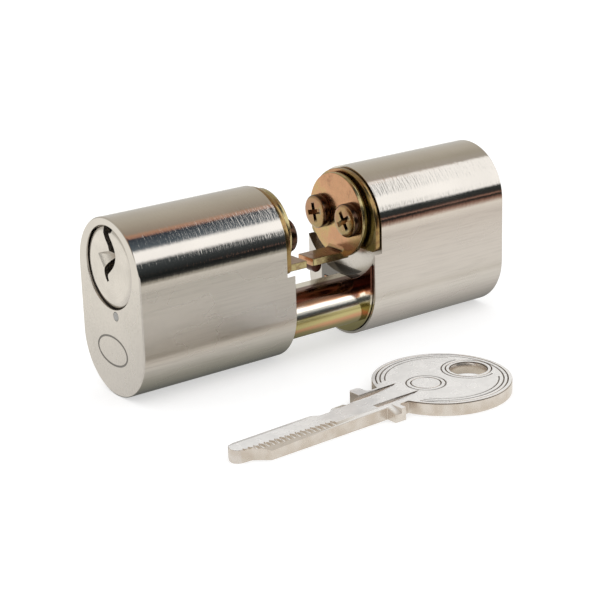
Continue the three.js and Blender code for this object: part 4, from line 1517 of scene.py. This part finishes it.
def make_floor():
    """A wide pale floor under the lock. Reflections see its bright and dark parts."""
    near, far = -FLOOR_HALF, FLOOR_HALF
    corners = [(near, near, 0), (far, near, 0), (far, far, 0), (near, far, 0)]
    floor = object_from("floor", corners, [(0, 1, 2, 3)])
    floor.location.z = FLOOR_Z * MILLIMETRE - FLOOR_GAP
    bench = MaterialBench("floor_paper")
    paper = bench.mix(bench.noise((60, 60, 60)), rgba((0.66, 0.66, 0.66)), rgba((0.68, 0.68, 0.68)))
    inputs = bench.shader.inputs
    bench.feed(inputs["Base Color"], paper)
    inputs["Roughness"].default_value = 0.9
    inputs["Specular IOR Level"].default_value = 0.0
    inputs["Emission Color"].default_value = (1, 1, 1, 1)
    inputs["Emission Strength"].default_value = 0.5
    reflected = bench.add("ShaderNodeEmission", Color=floor_bands(bench), Strength=FLOOR_GAIN)
    bench.show("Material Output", bench.shader, reflected)
    floor.data.materials.append(bench.material)


# What polished metal sees of the studio, by the angle round the lock's length: degrees from straight up
# towards the near side, with the colour there. One row of lamps and screens stands before each half.
SCREENS_FRONT = (
    (-112, (0.558, 0.558, 0.549)), (-92, (0.432, 0.432, 0.414)), (-70, (0.45, 0.432, 0.396)),
    (-40, (0.414, 0.387, 0.333)), (-20, (0.36, 0.324, 0.27)), (0, (0.288, 0.243, 0.198)),
    (5, (0.414, 0.234, 0.153)), (10, (0.324, 0.18, 0.135)), (13, (0.027, 0.036, 0.05)),
    (36, (0.09, 0.113, 0.135)), (43, (1.0, 1.0, 1.0)), (60, (1.0, 1.0, 1.0)),
    (66, (0.054, 0.063, 0.068)), (90, (0.011, 0.013, 0.013)), (100, (0.09, 0.086, 0.077)),
    (112, (0.54, 0.54, 0.54)),
)
SCREENS_REAR = (
    (-112, (0.558, 0.558, 0.549)), (-92, (0.432, 0.432, 0.414)), (-70, (0.45, 0.432, 0.396)),
    (-40, (0.414, 0.387, 0.333)), (-20, (0.36, 0.333, 0.279)), (0, (0.387, 0.36, 0.324)),
    (4, (1.0, 1.0, 1.0)), (71, (1.0, 1.0, 1.0)), (75, (0.027, 0.032, 0.032)), (87, (0.027, 0.025, 0.023)),
    (91, (0.405, 0.216, 0.162)), (102, (0.54, 0.45, 0.387)), (112, (0.72, 0.72, 0.72)),
)
SCREEN_GAIN = 1.5
# How far a direction has to lean to the rear to meet the rear half's screens.
SCREEN_DIVIDE = (0.57, 0.605)


def make_sky(strength):
    """Pale surroundings, with lamps and dark screens that show only in reflections."""
    world = bpy.data.worlds.new("pale_studio")
    bpy.context.scene.world = world
    world.use_nodes = True
    bench = NodeBench(world.node_tree)
    direction = bench.split(bench.add("ShaderNodeTexCoord").outputs["Generated"])
    turn = bench.maths("ARCTAN2", bench.both(direction["Y"], -1.0), direction["Z"])
    first, last = math.radians(SCREENS_FRONT[0][0]), math.radians(SCREENS_FRONT[-1][0])
    angle = bench.span(turn, first, last, 0.0, 1.0)
    rearward = bench.span(direction["X"], *SCREEN_DIVIDE, 0.0, 1.0)
    screens = bench.mix(rearward, bench.strips(angle, SCREENS_FRONT), bench.strips(angle, SCREENS_REAR))
    plain = bench.tree.nodes["Background"]
    plain.inputs["Color"].default_value = (1, 1, 1, 1)
    plain.inputs["Strength"].default_value = strength
    reflected = bench.add("ShaderNodeBackground", Color=screens, Strength=SCREEN_GAIN)
    bench.show("World Output", plain, reflected)


def aim_at(piece, place, target):
    """Puts an object at a place and turns its -Z axis to a target."""
    piece.location = place
    piece.rotation_mode = "QUATERNION"
    piece.rotation_quaternion = (Vector(target) - Vector(place)).to_track_quat("-Z", "Y")


def make_camera(settings):
    """The camera, placed by its azimuth, elevation and distance from the aim point."""
    azimuth, elevation = settings.azimuth, settings.elevation
    back = Vector((
        -math.sin(azimuth) * math.cos(elevation),
        -math.cos(azimuth) * math.cos(elevation),
        math.sin(elevation),
    ))
    data = bpy.data.cameras.new("camera")
    data.lens = settings.lens
    data.sensor_width = 36.0
    data.clip_start = 0.01
    camera = bpy.data.objects.new("camera", data)
    bpy.context.scene.collection.objects.link(camera)
    aim = Vector(settings.aim)
    aim_at(camera, aim + back * settings.distance, aim)
    roll = Matrix.Rotation(settings.roll, 4, "Z").to_quaternion()
    camera.rotation_quaternion = camera.rotation_quaternion @ roll
    bpy.context.scene.camera = camera


class LOCK_OT_make_stage(bpy.types.Operator):
    """Makes the floor, light and camera"""

    bl_idname = "lock.make_stage"
    bl_label = "Make stage"

    def execute(self, context):
        settings = context.scene.lock_stage
        make_floor()
        make_sky(settings.sky)
        make_camera(settings)
        context.scene.view_settings.view_transform = "Standard"
        return {"FINISHED"}


# Panel and registration.


class LOCK_PT_parts(bpy.types.Panel):
    """Lists the lock's operators and settings in the sidebar"""

    bl_label = "Double lock cylinder"
    bl_space_type = "VIEW_3D"
    bl_region_type = "UI"
    bl_category = "Lock"

    def draw(self, context):
        layout = self.layout
        for operator in OPERATORS:
            layout.operator(operator.bl_idname)
        for group in (context.scene.lock_finish, context.scene.lock_shape, context.scene.lock_stage):
            column = layout.column()
            for name in group.bl_rna.properties.keys():
                if name not in {"rna_type", "name"}:
                    column.prop(group, name)


SETTINGS = {
    "lock_finish": LockFinishSettings,
    "lock_shape": LockShapeSettings,
    "lock_stage": LockStageSettings,
}
OPERATORS = (
    LOCK_OT_make_stage,
    LOCK_OT_make_housings,
    LOCK_OT_make_plugs,
    LOCK_OT_make_cams,
    LOCK_OT_make_cam_screws,
    LOCK_OT_make_end_plates,
    LOCK_OT_make_bridge,
    LOCK_OT_make_key,
    LOCK_OT_make_springs,
    LOCK_OT_finish_small_parts,
)


def register():
    """Registers the settings, operators and panel."""
    for settings in SETTINGS.values():
        bpy.utils.register_class(settings)
    for operator in OPERATORS:
        bpy.utils.register_class(operator)
    bpy.utils.register_class(LOCK_PT_parts)
    for name, settings in SETTINGS.items():
        setattr(bpy.types.Scene, name, bpy.props.PointerProperty(type=settings))


def unregister():
    """Removes what register() added."""
    for name in SETTINGS:
        delattr(bpy.types.Scene, name)
    bpy.utils.unregister_class(LOCK_PT_parts)
    for operator in reversed(OPERATORS):
        bpy.utils.unregister_class(operator)
    for settings in SETTINGS.values():
        bpy.utils.unregister_class(settings)


def main():
    """Makes every piece and the stage."""
    register()
    for operator in OPERATORS:
        family, action = operator.bl_idname.split(".")
        getattr(getattr(bpy.ops, family), action)()


if __name__ == "__main__":
    main()
